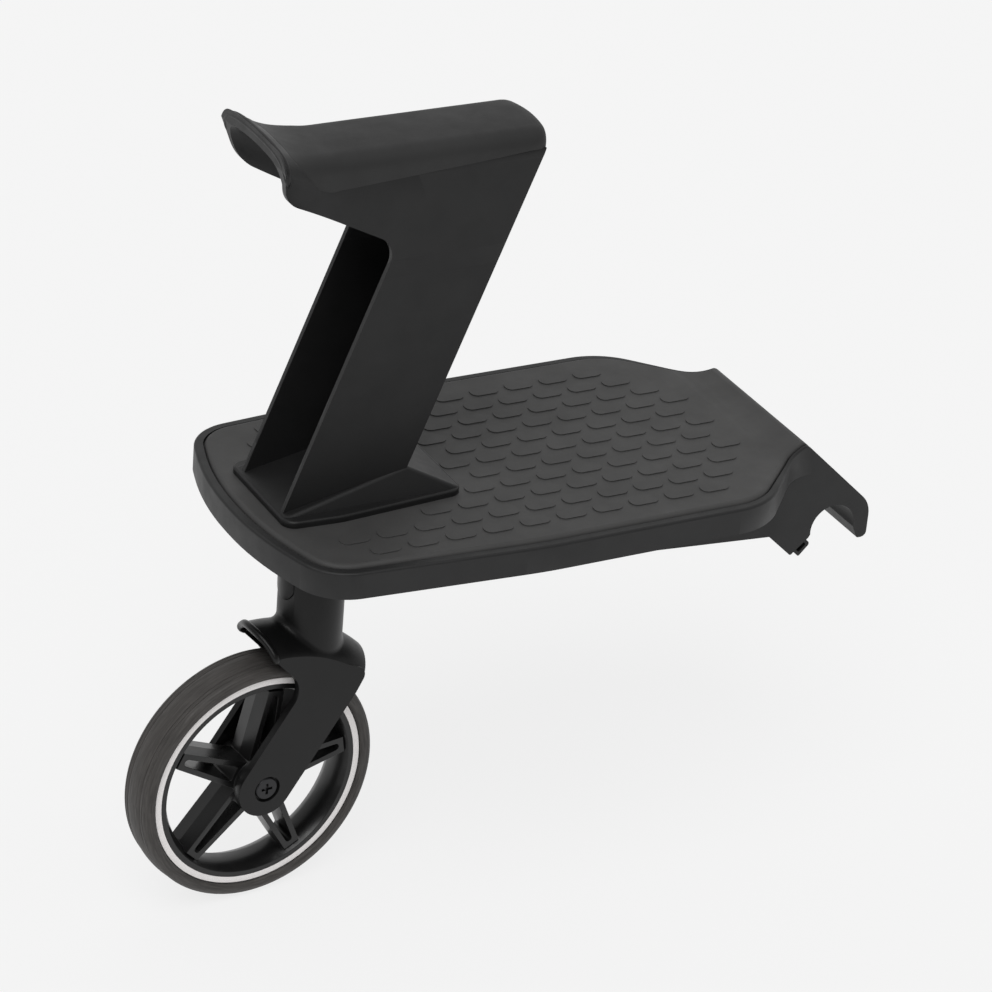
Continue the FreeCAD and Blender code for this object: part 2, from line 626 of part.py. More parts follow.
def make_deck_shell():
    tray = swept_block("deck_tray", deck_corners(), rim_bottom, rim_top, crest_z - v.rim_drop)
    soft_tray = rounded("deck_rim", tray, top_rounds(tray.Shape, rim_top, v.rim_edge_radius))
    hook = extruded("deck_hook", profile("hook_side", hook_side(), UPRIGHT_XZ), "2 * Sizes.hook_half_width",
                    symmetric=True)
    boss_height = plate_bottom - boss_bottom
    boss = cylinder("deck_boss", "Sizes.boss_d / 2", f"{boss_height}", at(-v.stem_x, 0, boss_bottom))
    outer = fused("deck_outer", [soft_tray, hook, boss])
    recess_plan = profile("recess_plan", outline(mat_corners(v.groove_width)), at_height(plate_top))
    recess = extruded("deck_recess", recess_plan, "Sizes.rim_depth")

    # Coring from below, with ribs left standing.
    slope = (v.deck_half_width - v.hook_half_width) / (v.shoulder_x - v.neck_x)
    core_half = v.deck_half_width - slope * (v.shoulder_x - v.core_front_x)
    half = deck_corners()[:4] + [(-v.core_front_x, -core_half, 0.0)]
    core_low = -v.jaw_bottom
    core_plan = profile("core_plan", outline(grown(mirrored(half), -v.skirt_wall)), at_height(core_low))
    core = extruded("deck_core", core_plan, f"{plate_bottom - core_low}")
    cells = cut("deck_cells", core, deck_ribs(core_low))

    # Slot for the latch and its finger notch.
    slot_half = v.hook_half_width - v.latch_cheek
    slot_back = -v.jaw_end + v.latch_out - v.latch_length - v.latch_fit
    slot = block("latch_slot", (slot_back, -slot_half, latch_low - v.latch_fit),
                 (v.jaw_end, slot_half, latch_high + v.latch_fit), JAW)
    notch_low = -v.jaw_bottom - v.latch_wall
    notch = block("finger_notch", (slot_back + v.latch_wall, -v.notch_half_width, notch_low),
                  (v.jaw_end, v.notch_half_width, latch_low), JAW)
    keep(cut("deck_shell", outer, [recess, cells, slot, notch] + deck_holes()), "deck_shell")


def flange_screw_places():
    """Three screws round the kingpin's flange."""
    angles = [math.radians(60 + 120 * i) for i in range(3)]
    ring = v.kingpin_screw_circle
    return [(-v.stem_x + ring * math.cos(a), ring * math.sin(a)) for a in angles]


def pad_places():
    """Middles of the pads: rows shifted by half a pitch, clear of the edge, the foot and the lip."""
    plan = mat_corners()
    field = Part.Face(Part.Wire([s.toShape() for s in outline(grown(plan, -v.pad_margin))]))
    foot = Part.Face(Part.Wire([s.toShape() for s in outline(grown(foot_corners(), v.pad_corner / 2))]))
    columns = int(v.deck_end / v.pad_pitch)
    places = []
    middle_row = int(v.pad_rows) // 2
    for row in range(int(v.pad_rows)):
        y = (row - middle_row) * v.pad_row_pitch
        shift = abs(row - middle_row) % 2 / 2
        for column in range(columns):
            x = -v.pad_first_x - (column + shift) * v.pad_pitch
            ends = [(x + sx * v.pad_length / 2, y + sy * v.pad_width / 2) for sx in (-1, 1) for sy in (-1, 1)]
            on_field = all(field.isInside(V(a, b, 0), 1e-6, True) for a, b in ends)
            under_foot = any(foot.isInside(V(a, b, 0), 1e-6, True) for a, b in ends)
            if on_field and not under_foot:
                places.append((x, y))
    return places


def pad_outline(x, y):
    """Plan of one pad."""
    a = v.pad_length / 2
    b = v.pad_width / 2
    turns = ((-1, -1), (1, -1), (1, 1), (-1, 1))
    return outline([(x + sx * a, y + sy * b, v.pad_corner) for sx, sy in turns])


def make_deck_mat():
    """Mat with a rolled edge, swept up to the crest, and rows of low pads."""
    blank = swept_block("mat_blank", mat_corners(), plate_top, v.mat_top, crest_z)
    rolled = rounded("mat_rolled", blank, top_rounds(blank.Shape, v.mat_top, v.mat_edge_radius))
    rows = []
    for x, y in pad_places():
        rows += pad_outline(x, y)
    pads = extruded("mat_pads", profile("pad_rows", rows, at_height(v.mat_top)), "Sizes.pad_height")
    holes = [cylinder("mat_screw_hole", "Sizes.seat_screw_d / 2 + Sizes.latch_fit", f"{FAR}", at(x, y, 0))
             for x, y in screw_places()]
    keep(cut("deck_mat", fused("mat_padded", [rolled, pads]), holes), "deck_mat")


def make_latch():
    """Sliding bolt with cored sides, a ribbed finger grip and slots for its stop screws."""
    half = v.hook_half_width - v.latch_cheek - v.latch_fit
    front = -v.jaw_end + v.latch_out
    back = front - v.latch_length
    body = new_body("latch")
    wall = v.latch_wall
    side = outline([(back, latch_low, wall / 2), (front, latch_low, wall / 2), (front, latch_high, wall),
                    (back, latch_high, wall / 2)])
    sketch = body_sketch(body, "latch_side", "XZ_Plane", side)
    pad = body_feature(body, "Pad", "latch_block", sketch, SideType="Symmetric")
    pad.setExpression("Length", "2 * (Sizes.hook_half_width - Sizes.latch_cheek - Sizes.latch_fit)")
    core = outline([(back + wall, latch_low + wall, wall / 2), (front - wall, latch_low + wall, wall / 2),
                    (front - wall, latch_high - wall, wall / 2), (back + wall, latch_high - wall, wall / 2)])
    for side_sign in (-1, 1):
        recess = body_sketch(body, "latch_core", "XZ_Plane", core, -side_sign * half)
        body_feature(body, "Pocket", "latch_coring", recess, "Sizes.latch_core", Reversed=side_sign > 0)
    grips = []
    grip_half = v.notch_half_width - 2 * v.latch_fit
    for i in range(4):
        start = back + v.latch_length / 4 + i * 2 * wall
        end = start + wall
        grips += polygon([(start, -grip_half), (end, -grip_half), (end, grip_half), (start, grip_half)])
    ribs = body_sketch(body, "latch_grips", "XY_Plane", grips, latch_low)
    body_feature(body, "Pad", "latch_grip", ribs, "Sizes.latch_wall", Reversed=True)
    reach = v.stop_screw_d / 2 + 2 * v.latch_fit
    slots = []
    for side_sign in (-1, 1):
        y = side_sign * v.stop_screw_y
        low_x = -v.stop_screw_back - v.latch_travel - reach
        high_x = -v.stop_screw_back + reach
        slots += polygon([(low_x, y - reach), (high_x, y - reach), (high_x, y + reach), (low_x, y + reach)])
    tracks = body_sketch(body, "latch_tracks", "XY_Plane", slots, latch_low)
    body_feature(body, "Pocket", "latch_slots", tracks, "Sizes.latch_thickness / 2 + Sizes.latch_fit",
                 Reversed=True)
    keep(body, "axle_latch", JAW)


def make_stop_screws():
    """Two screws from below the jaw into the latch's slots."""
    screws = []
    length = latch_low + v.latch_thickness / 2 + v.jaw_bottom
    for side_sign in (-1, 1):
        place = at(-v.stop_screw_back, side_sign * v.stop_screw_y, -v.jaw_bottom)
        screws.append(cylinder("stop_screw", "Sizes.stop_screw_d / 2", f"{length}", JAW.multiply(place)))
    group = doc.addObject("Part::Compound", "stop_screws")
    group.Links = screws
    keep(group, "latch_stop_screws")


# Seat

def foot_corners():
    """Plan of the seat's foot."""
    return mirrored([
        (-v.foot_rear_x, -v.foot_rear_half, v.foot_corner),
        (-v.foot_mid_x, -v.foot_mid_half, v.foot_bend),
        (-v.foot_front_x, -v.foot_front_half, v.foot_corner),
    ])


def seat_side():
    """Side view of the seat: post, saddle and rear lip; its top is open to the saddle's own curve."""
    rear_x = -v.post_rear_x
    front_x = rear_x + v.post_length
    rise = v.under_bend_z - v.mat_top
    return outline([
        (rear_x, v.mat_top, 0.0),
        (front_x, v.mat_top, 0.0),
        (front_x + lean * (v.saddle_top - v.mat_top), v.saddle_top, v.nose_radius),
        (-v.lip_start_x, v.saddle_top + v.cover_thickness, 0.0),
        (-v.lip_end_x, v.saddle_top + 2 * v.lip_rise, 0.0),
        (-v.lip_end_x, v.saddle_flange_z + v.lip_flange_rise, 0.0),
        (-v.under_rear_x, v.under_rear_z, v.under_rear_radius),
        (rear_x + lean * rise, v.under_bend_z, v.under_radius),
    ])


def hollow_side():
    """Side view of the room inside the seat, open to the rear."""
    wall = v.seat_wall / math.cos(math.radians(v.post_lean))
    front_x = -v.post_rear_x + v.post_length - wall
    return polygon([
        (-FAR, v.mat_top),
        (front_x, v.mat_top),
        (front_x + lean * (v.saddle_top - v.mat_top), v.saddle_top),
        (-FAR, v.saddle_top + 4 * v.lip_rise),
    ])


def above_seam():
    """Side view of all that lies above the seam of the saddle cover."""
    forward = math.tan(math.radians(v.seam_slope))
    steep = math.tan(math.radians(v.seam_rear_angle))
    reach = FAR / 2
    rear_x = v.seam_margin - v.lip_end_x
    return outline([
        (-v.seam_bend_x, v.seam_bend_z, v.seam_radius),
        (-v.seam_bend_x + reach, v.seam_bend_z + forward * reach, 0.0),
        (-v.seam_bend_x + reach, v.seam_bend_z + reach, 0.0),
        (rear_x, v.seam_bend_z + reach, 0.0),
        (rear_x, v.seam_bend_z - steep * (v.seam_bend_x + rear_x), 0.0),
    ])


# Crown of the saddle: two points of its shoulder as shares of its half width and rise; bulge of its flank.
CROWN = ((0.86, 0.66), (0.50, 0.93))
FLANK = (0.3, 0.6)


def saddle_half(x, side_inset=0.0, top_inset=0.0):
    """Left half of a cross section; the rear lip widens and rises with the square of the way along it."""
    sweep = max(0.0, (-x - v.lip_start_x) / (v.lip_end_x - v.lip_start_x)) ** 2
    post = v.post_half_width - side_inset
    widened = v.saddle_half_width + (v.lip_half_width - v.saddle_half_width) * sweep
    flange = widened - max(side_inset, top_inset)
    flange_z = v.saddle_flange_z + v.lip_flange_rise * sweep - top_inset
    rise = v.saddle_top + v.lip_rise * sweep - top_inset - flange_z
    wall = [V(x, post, plate_top), V(x, post, v.flare_z)]
    bulge = V(x, post + FLANK[0] * (flange - post), v.flare_z + FLANK[1] * (flange_z - v.flare_z))
    edge = V(x, flange, flange_z)
    crown = [edge] + [V(x, across * flange, flange_z + up * rise) for across, up in CROWN]
    return wall, bulge, edge, crown + [V(x, 0, flange_z + rise)]


def mirror_y(point):
    return V(point.x, -point.y, point.z)


def whole_crown(crown):
    """The crown from one side to the other."""
    return spline(crown + [mirror_y(p) for p in reversed(crown[:-1])])


def saddle_section(x, side_inset, top_inset):
    """Cross section of post and saddle."""
    wall, bulge, edge, crown = saddle_half(x, side_inset, top_inset)
    return Part.Wire([
        Part.makeLine(wall[0], wall[1]),
        spline([wall[1], bulge, edge]),
        whole_crown(crown),
        spline([mirror_y(edge), mirror_y(bulge), mirror_y(wall[1])]),
        Part.makeLine(mirror_y(wall[1]), mirror_y(wall[0])),
        Part.makeLine(mirror_y(wall[0]), wall[0]),
    ])


def spline(points):
    curve = Part.BSplineCurve()
    curve.interpolate(points)
    return curve.toShape()


def saddle_loft(name, side_inset, top_inset):
    """Post and saddle drawn through their cross sections, from the nose to beyond the rear lip."""
    nose = -v.post_rear_x + v.post_length + lean * (v.saddle_top - v.mat_top)
    step = (v.lip_end_x - v.lip_start_x) / 3
    stations = [-v.lip_end_x - step / 2]
    while stations[-1] < nose + step:
        stations.append(stations[-1] + step)
    solid = doc.addObject("Part::Feature", name)
    solid.Shape = Part.makeLoft([saddle_section(x, side_inset, top_inset) for x in stations], True, False)
    return solid


def make_seat():
    skin = saddle_loft("seat_skin", 0.0, 0.0)
    under_cover = saddle_loft("seat_under_cover", 0.0, v.cover_thickness)
    room = saddle_loft("seat_room", v.seat_wall, v.cover_thickness + v.seat_wall)
    width = "4 * Sizes.lip_half_width"
    side = extruded("seat_side_block", profile("seat_side", seat_side(), UPRIGHT_XZ), width, True)
    top = extruded("seam_block", profile("seam_side", above_seam(), UPRIGHT_XZ), width, True)
    inner = extruded("hollow_block", profile("hollow_side", hollow_side(), UPRIGHT_XZ), width, True)

    below = cut("seat_below_seam", skin, [top])
    core = fused("seat_core", [below, under_cover])
    trimmed = common("seat_trimmed", [core, side])
    hollow = common("seat_hollow", [room, inner])
    walls = cut("seat_walls", trimmed, [hollow])
    whole = fused("seat_whole", [walls] + seat_foot())
    pilots = [cylinder("seat_pilot", "Sizes.seat_screw_d / 2", "Sizes.seat_screw_depth", at(x, y, v.mat_top))
              for x, y in screw_places()]
    keep(cut("seat_shell", whole, pilots), "seat_shell")

    crown = common("cover_crown", [skin, side, top])
    keep(cut("saddle_cover", crown, [under_cover]), "saddle_cover")


def seat_foot():
    """Foot: an edge band with rounded corners and three sloping facets."""
    plan = profile("foot_plan", outline(foot_corners()), at_height(v.mat_top))
    band = extruded("foot_band", plan, "Sizes.foot_height")
    facets = doc.addObject("Part::Feature", "foot_facets")
    facets.Shape = foot_wedge()
    doc.recompute()
    upper = [i for i, e in enumerate(band.Shape.Edges, start=1) if e.BoundBox.ZMin > foot_top - 1e-4]
    peak = foot_top + v.foot_peak
    ridges = [i for i, e in enumerate(facets.Shape.Edges, start=1) if e.BoundBox.ZMax > peak - 1e-4]
    return [rounded("foot_soft_band", band, [(i, v.foot_edge_radius) for i in upper]),
            rounded("foot_soft_facets", facets, [(i, v.foot_ridge_radius) for i in ridges])]


def foot_wedge():
    """Facets of the foot: a floor that rises to the front, two side facets and a front ramp."""
    z = foot_top
    rear_x = -v.foot_rear_x + v.foot_inset
    front_x = -v.foot_front_x - v.foot_inset
    rear_y = v.foot_rear_half - v.foot_inset - v.foot_corner / 2
    front_y = v.foot_front_half - v.foot_inset
    peak_x = -v.post_rear_x + v.post_length + lean * (v.foot_peak + v.foot_height)
    peak_z = z + v.foot_peak
    y = v.post_half_width
    rear = [V(rear_x, -rear_y, z), V(rear_x, rear_y, z)]
    front = [V(front_x, -front_y, z), V(front_x, front_y, z)]
    peak = [V(peak_x, -y, peak_z), V(peak_x, y, peak_z)]
    rings = [
        [rear[0], rear[1], front[1], front[0]],
        [rear[0], peak[0], peak[1], rear[1]],
        [front[0], front[1], peak[1], peak[0]],
        [rear[0], front[0], peak[0]],
        [rear[1], peak[1], front[1]],
    ]
    faces = [Part.Face(Part.makePolygon(ring + [ring[0]])) for ring in rings]
    return Part.makeSolid(Part.makeShell(faces))


def make_seat_screws():
    """Pan-head screws from below the deck into the foot."""
    shank_top = v.mat_top + v.seat_screw_depth
    screws = []
    for x, y in screw_places():
        head = cylinder("seat_screw_head", "Sizes.seat_screw_head_d / 2", "Sizes.seat_screw_head",
                        at(x, y, rim_bottom - v.seat_screw_head))
        shank = cylinder("seat_screw_shank", "Sizes.seat_screw_d / 2", f"{shank_top - rim_bottom}",
                         at(x, y, rim_bottom))
        screws.append(fused("seat_screw", [head, shank]))
    group = doc.addObject("Part::Compound", "seat_screw_group")
    group.Links = screws
    keep(group, "seat_screws")


# Caster

def make_kingpin():
    """Pin with a flange under the mat, a groove for the catch and a tapered end."""
    r = v.kingpin_d / 2
    core = v.kingpin_core_d / 2
    wide = v.kingpin_flange_d / 2
    half = v.catch_thickness / 2 + v.catch_gap
    taper = r - core
    shoulder = plate_top - v.kingpin_flange
    section = polygon([
        (0, v.kingpin_end), (core, v.kingpin_end), (r, v.kingpin_end + taper),
        (r, v.catch_z - half), (core, v.catch_z - half), (core, v.catch_z + half), (r, v.catch_z + half),
        (r, shoulder), (wide, shoulder), (wide, plate_top), (0, plate_top),
    ])
    pin = turned("kingpin_turned", section, "XZ_Plane", CASTER, finished=False)
    holes = [cylinder("flange_hole", "Sizes.kingpin_screw_d / 2", f"{FAR}", at(x, y, boss_bottom))
             for x, y in flange_screw_places()]
    keep(cut("kingpin_drilled", pin, holes), "kingpin")


def make_kingpin_screws():
    """Three screws that hold the flange to the boss."""
    low = boss_bottom + v.bush_flange
    screws = [cylinder("flange_screw", "Sizes.kingpin_screw_d / 2", f"{plate_top - low}", at(x, y, low))
              for x, y in flange_screw_places()]
    group = doc.addObject("Part::Compound", "flange_screws")
    group.Links = screws
    keep(group, "kingpin_screws")


def make_bushes():
    inner = v.kingpin_d / 2 + v.running_fit
    outer = v.stem_bore_d / 2
    wide = v.bush_flange_d / 2
    top = v.stem_top
    under = top - v.bush_length
    over = top + v.bush_flange
    upper = polygon([(inner, under), (outer, under), (outer, top), (wide, top), (wide, over), (inner, over)])
    turned("stem_bush_upper", upper, "XZ_Plane", CASTER)
    low = v.stem_bore_end
    turned("stem_bush_lower", ring_section(inner, outer, low, low + v.bush_length), "XZ_Plane", CASTER)


def leg_side():
    """Side view of one leg, from the axle's eye up under the hood; the swivel axis is x = 0."""
    centre = V(-v.trail, -v.axle_drop, 0)
    lean_angle = math.radians(v.leg_lean)
    up = V(math.sin(lean_angle), math.cos(lean_angle), 0)
    out = V(math.cos(lean_angle), -math.sin(lean_angle), 0)
    rake = math.radians(v.fin_angle)
    edge = V(-math.cos(rake), math.sin(rake), 0)
    tip = V(-v.fin_x, fin_z, 0)

    def meet(p, d, q, e):
        """Where two lines cross."""
        t = ((q.x - p.x) * e.y - (q.y - p.y) * e.x) / (d.x * e.y - d.y * e.x)
        return p + d * t

    def on_circle(radius, degrees):
        angle = math.radians(degrees)
        return centre + V(math.cos(angle), math.sin(angle), 0) * radius

    low_front = centre + out * v.leg_front_half
    low_rear = centre - out * v.leg_rear_half
    crook = meet(low_rear, up, tip, edge)
    top_rear = on_circle(hood_edge_r, v.hood_rear_angle - v.leg_top_inset)
    top_mid = on_circle(hood_edge_r, (v.hood_rear_angle + v.hood_front_angle) / 2)
    front = on_circle(hood_edge_r + v.hood_wall, v.hood_front_angle)
    knee = low_front + up * (hood_edge_r - 3 * v.hood_wall)
    corners = [(low_rear, 0.0), (low_front, 0.0), (knee, v.leg_knee_radius), (front, v.leg_front_radius),
               (top_mid, 0.0), (top_rear, 0.0), (crook, v.leg_crook_radius)]
    segments = outline([(p.x, p.y, radius) for p, radius in corners])
    bottom = centre - up * (v.leg_front_half + v.leg_rear_half) / 2
    eye = Part.Arc(low_rear, bottom, low_front)
    return [s for s in segments if not joins(s, low_rear, low_front)] + [eye]


# Shoulder of the hood, as shares of its half width and rise.
HOOD_SHOULDER = (0.72, 0.52)


def hood_section(edge, side, top):
    """Arch across the wheel, at the given edge radius, half width and top radius from the axle."""
    foot = well_r - v.tyre_groove
    ends = [V(side, foot, 0), V(side, edge, 0), V(-side, edge, 0), V(-side, foot, 0)]
    x = side * HOOD_SHOULDER[0]
    y = edge + (top - edge) * HOOD_SHOULDER[1]
    arch = Part.BSplineCurve()
    arch.interpolate([ends[1], V(x, y, 0), V(0, top, 0), V(-x, y, 0), ends[2]])
    return [Part.LineSegment(ends[0], ends[1]), arch, Part.LineSegment(ends[2], ends[3]),
            Part.LineSegment(ends[3], ends[0])]


def hood_turn(name, segments, start, sweep):
    """A section turned about the axle between two angles from the heading."""
    axle = V(-v.trail, 0, -v.axle_drop)
    wire = Part.Wire([s.toShape() for s in segments])
    wire.Placement = FreeCAD.Placement(axle, ON_YZ)
    face = Part.Face(wire)
    face.rotate(axle, V(0, -1, 0), start - 90)
    solid = doc.addObject("Part::Feature", name)
    solid.Shape = face.revolve(axle, V(0, -1, 0), sweep)
    return solid


def button_plan(gap):
    """The button seen from behind: straight sides, a round lower end."""
    half = v.button_half_width + gap
    low = v.button_bottom - gap
    high = v.button_top + gap
    corner = v.button_corner + gap
    return outline([(-half, low, half), (half, low, half), (half, high, corner), (-half, high, corner)])


def fin_block():
    """All that lies behind the fin's raked rear edge."""
    rake = math.radians(v.fin_angle)
    tip = V(-v.fin_x, fin_z, 0)
    along = V(-math.cos(rake), math.sin(rake), 0)
    behind = V(-math.sin(rake), -math.cos(rake), 0) * FAR
    low = tip - along * hood_r
    high = tip + along * hood_r
    edge = polygon([(p.x, p.y) for p in (low, low + behind, high + behind, high)])
    return extruded("fin_edge", profile("fin_side", edge, UPRIGHT_XZ), f"{FAR}", True)


def make_fork():
    """Stem, hood and two legs, hollowed for the tyre, the bushes and the button."""
    axle = (-v.trail, -v.axle_drop)
    sweep = v.hood_rear_angle - v.hood_front_angle
    arch = hood_turn("hood_arch", hood_section(hood_edge_r, leg_outer, hood_r), v.hood_front_angle, sweep)
    hood = cut("hood", arch, [fin_block()])
    stem_low = -v.axle_drop / 2
    stem = cylinder("stem", "Sizes.stem_d / 2", f"{v.stem_top - stem_low}", at_height(stem_low))
    outside = doc.addObject("Part::Feature", "fork_outside")
    doc.recompute()
    blend = hood.Shape.fuse(stem.Shape)
    outside.Shape = blend.makeFillet(v.stem_fillet, [e for e in blend.Edges if on_stem_foot(e)])
    legs = []
    for side_sign in (-1, 1):
        place = at(0, side_sign * (v.leg_inner + v.leg_thickness / 2), 0, ON_XZ)
        legs.append(extruded("fork_leg", profile("leg_side", leg_side(), place), "Sizes.leg_thickness", True))

    # Room for the tyre under the hood, well past both ends of the hood.
    spare = 60
    inner = hood_section(hood_edge_r, v.leg_inner, hood_r - v.hood_wall)
    above = hood_turn("well_arch", inner, v.hood_front_angle - spare, sweep + 2 * spare)
    well = cylinder("well", f"{well_r}", "2 * Sizes.leg_inner", at(axle[0], v.leg_inner, axle[1], ON_XZ))
    bore = cylinder("stem_bore", "Sizes.stem_bore_d / 2", f"{FAR}", at_height(v.stem_bore_end))
    window_plan = profile("button_window_plan", button_plan(v.button_gap), at(-v.stem_d, 0, 0, ON_YZ))
    window = extruded("button_window", window_plan, "Sizes.stem_d")
    seat = cylinder("spring_seat", "Sizes.spring_d / 2 + Sizes.button_gap",
                    "Sizes.stem_bore_d / 2 + Sizes.spring_pocket", at(0, 0, spring_z, ALONG_X))
    tools = [above, well, bore, window, seat]
    tools.append(cylinder("axle_hole", "Sizes.axle_d / 2", f"{FAR}", at(axle[0], FAR / 2, axle[1], ON_XZ)))
    for y in (leg_outer - v.axle_recess + FAR, v.axle_recess - leg_outer):
        tools.append(cylinder("axle_counterbore", "Sizes.axle_recess_d / 2", f"{FAR}",
                              at(axle[0], y, axle[1], ON_XZ)))
    keep(cut("caster_fork", fused("fork_solid", [outside] + legs), tools), "caster_fork", CASTER)


def on_stem_foot(edge):
    """True for the edges where the stem runs into the hood."""
    points = edge.discretize(5)
    round_stem = all(abs(math.hypot(p.x, p.y) - stem_r) < 1e-3 for p in points)
    outside = all(math.hypot(p.x + v.trail, p.z + v.axle_drop) > well_r for p in points)
    return round_stem and outside and max(p.z for p in points) < 0


def make_button():
    """Tab in the back of the stem, its outside round like the stem."""
    plan = profile("button_plan", button_plan(0.0), at(-v.stem_d, 0, 0, ON_YZ))
    shank = extruded("button_block", plan, "Sizes.stem_d / 2 + Sizes.button_depth")
    skin = cylinder("button_skin", "Sizes.stem_d / 2 + Sizes.button_proud", f"{FAR}", at_height(-FAR / 2))
    keep(common("button", [shank, skin]), "release_button", CASTER)


def make_catch():
    """Keyhole plate on the button: the narrow end holds in the kingpin's groove, the wide end lets it go."""
    back = -stem_r + v.button_depth
    half = v.catch_half_width
    nose = v.kingpin_d / 2 + v.catch_gap + v.catch_tab_wall
    narrow = v.kingpin_core_d / 2 + v.catch_gap / 2
    wide = v.kingpin_d / 2 + v.catch_gap
    shift = -v.button_travel
    body = new_body("catch")
    tail = v.button_half_width - v.catch_thickness
    plan = outline([(back, -tail, 0.0), (-half, -tail, 0.0), (-tail, -half, 0.0), (nose, -half, half / 2),
                    (nose, half, half / 2), (-tail, half, 0.0), (-half, tail, 0.0), (back, tail, 0.0)])
    sketch = body_sketch(body, "catch_plan", "XY_Plane", plan, v.catch_z - v.catch_thickness / 2)
    body_feature(body, "Pad", "catch_plate", sketch, "Sizes.catch_thickness")
    below = v.catch_z - v.catch_thickness
    for radius, x in ((narrow, 0.0), (wide, shift)):
        hole = body_sketch(body, "catch_hole", "XY_Plane", circle(x, 0, radius), below)
        body_feature(body, "Pocket", "catch_keyhole", hole, "Sizes.catch_thickness * 2", Reversed=True)
    tab = v.spring_d / 2
    tab_plan = ring_section(nose - v.catch_tab_wall, nose, -tab, tab)
    tab_sketch = body_sketch(body, "catch_tab_plan", "XY_Plane", tab_plan, v.catch_z)
    body_feature(body, "Pad", "catch_tab", tab_sketch, "Sizes.catch_tab")
    keep(body, "release_catch", CASTER)


def make_spring():
    """Coil in its seat in the stem's front wall, drawn at the length it has when the button is pressed."""
    inset = v.spring_wire / 2 + v.spring_gap
    start = v.kingpin_d / 2 + v.catch_gap + v.catch_tab_wall + v.button_travel + inset
    end = v.stem_bore_d / 2 + v.spring_pocket - inset
    radius = (v.spring_d - v.spring_wire) / 2
    helix = Part.makeHelix((end - start) / v.spring_turns, end - start, radius)
    ring = Part.Wire(Part.makeCircle(v.spring_wire / 2, V(radius, 0, 0), V(0, 1, 0)))
    spring = doc.addObject("Part::Feature", "spring")
    spring.Shape = Part.Wire(helix).makePipeShell([ring], True, True)
    keep(spring, "button_spring", CASTER.multiply(at(start, 0, spring_z, ALONG_X)))


# Wheel: sections are drawn as radius across and axle upwards.

def mirror_segment(segment):
    """The same segment on the other side of the wheel's middle."""
    start = mirror_y(segment.EndPoint)
    end = mirror_y(segment.StartPoint)
    if isinstance(segment, Part.LineSegment):
        return Part.LineSegment(start, end)
    middle = segment.value((segment.FirstParameter + segment.LastParameter) / 2)
    return Part.Arc(start, mirror_y(middle), end)


# Upper side wall of the tyre: its middle, as shares of its height and of its way in to the tread.
TYRE_SHOULDER = (0.72, 0.36)


def make_tyre():
    """Tyre with rounded side walls and fine lines round each shoulder."""
    seat = v.tyre_seat_d / 2
    seat_half = v.tyre_seat_width / 2
    half = v.tyre_width / 2
    tread = v.tyre_tread_width / 2
    shoulder = tyre_r - v.tread_crown
    groove = v.tyre_groove
    bulge = flange_r + (shoulder - flange_r) / 3
    points = [V(seat, 0, 0), V(seat, seat_half, 0), V(flange_r, seat_half, 0)]
    points.append(V(flange_r, half - v.wall_bulge, 0))
    upper = [Part.LineSegment(a, b) for a, b in zip(points, points[1:])]
    widest = V(bulge, half, 0)
    low_middle = V((flange_r + bulge) / 2, half - v.wall_bulge / 4, 0)
    up, inward = TYRE_SHOULDER
    high_middle = V(bulge + (shoulder - bulge) * up, half - (half - tread) * inward, 0)
    upper += [Part.Arc(points[-1], low_middle, widest), Part.Arc(widest, high_middle, V(shoulder, tread, 0))]
    edge = V(shoulder, tread, 0)
    for lane in range(int(v.tyre_lines)):
        y = tread - lane * v.tyre_line_pitch
        line = [V(shoulder, y, 0), V(shoulder - groove, y - groove / 2, 0), V(shoulder, y - groove, 0)]
        if lane:
            line.insert(0, edge)
        upper += [Part.LineSegment(a, b) for a, b in zip(line, line[1:])]
        edge = line[-1]
    crown = Part.Arc(edge, V(tyre_r, 0, 0), mirror_y(edge))
    turned("tyre", upper + [crown] + [mirror_segment(s) for s in upper], "XY_Plane", WHEEL)


def spoke_half(x):
    """Half of a spoke's width at its parting line."""
    hub_r = v.hub_d / 2
    share = (x - hub_r) / (barrel_r - hub_r)
    return (v.spoke_hub_width + (v.spoke_rim_width - v.spoke_hub_width) * share) / 2


def spoke_plan(start, end, inset, start_radius, end_radius):
    """Tapered plan of a spoke, or of the slot between its ribs."""
    low = spoke_half(start) - inset
    high = spoke_half(end) - inset
    return outline([(start, -low, start_radius), (end, -high, end_radius), (end, high, end_radius),
                    (start, low, start_radius)])


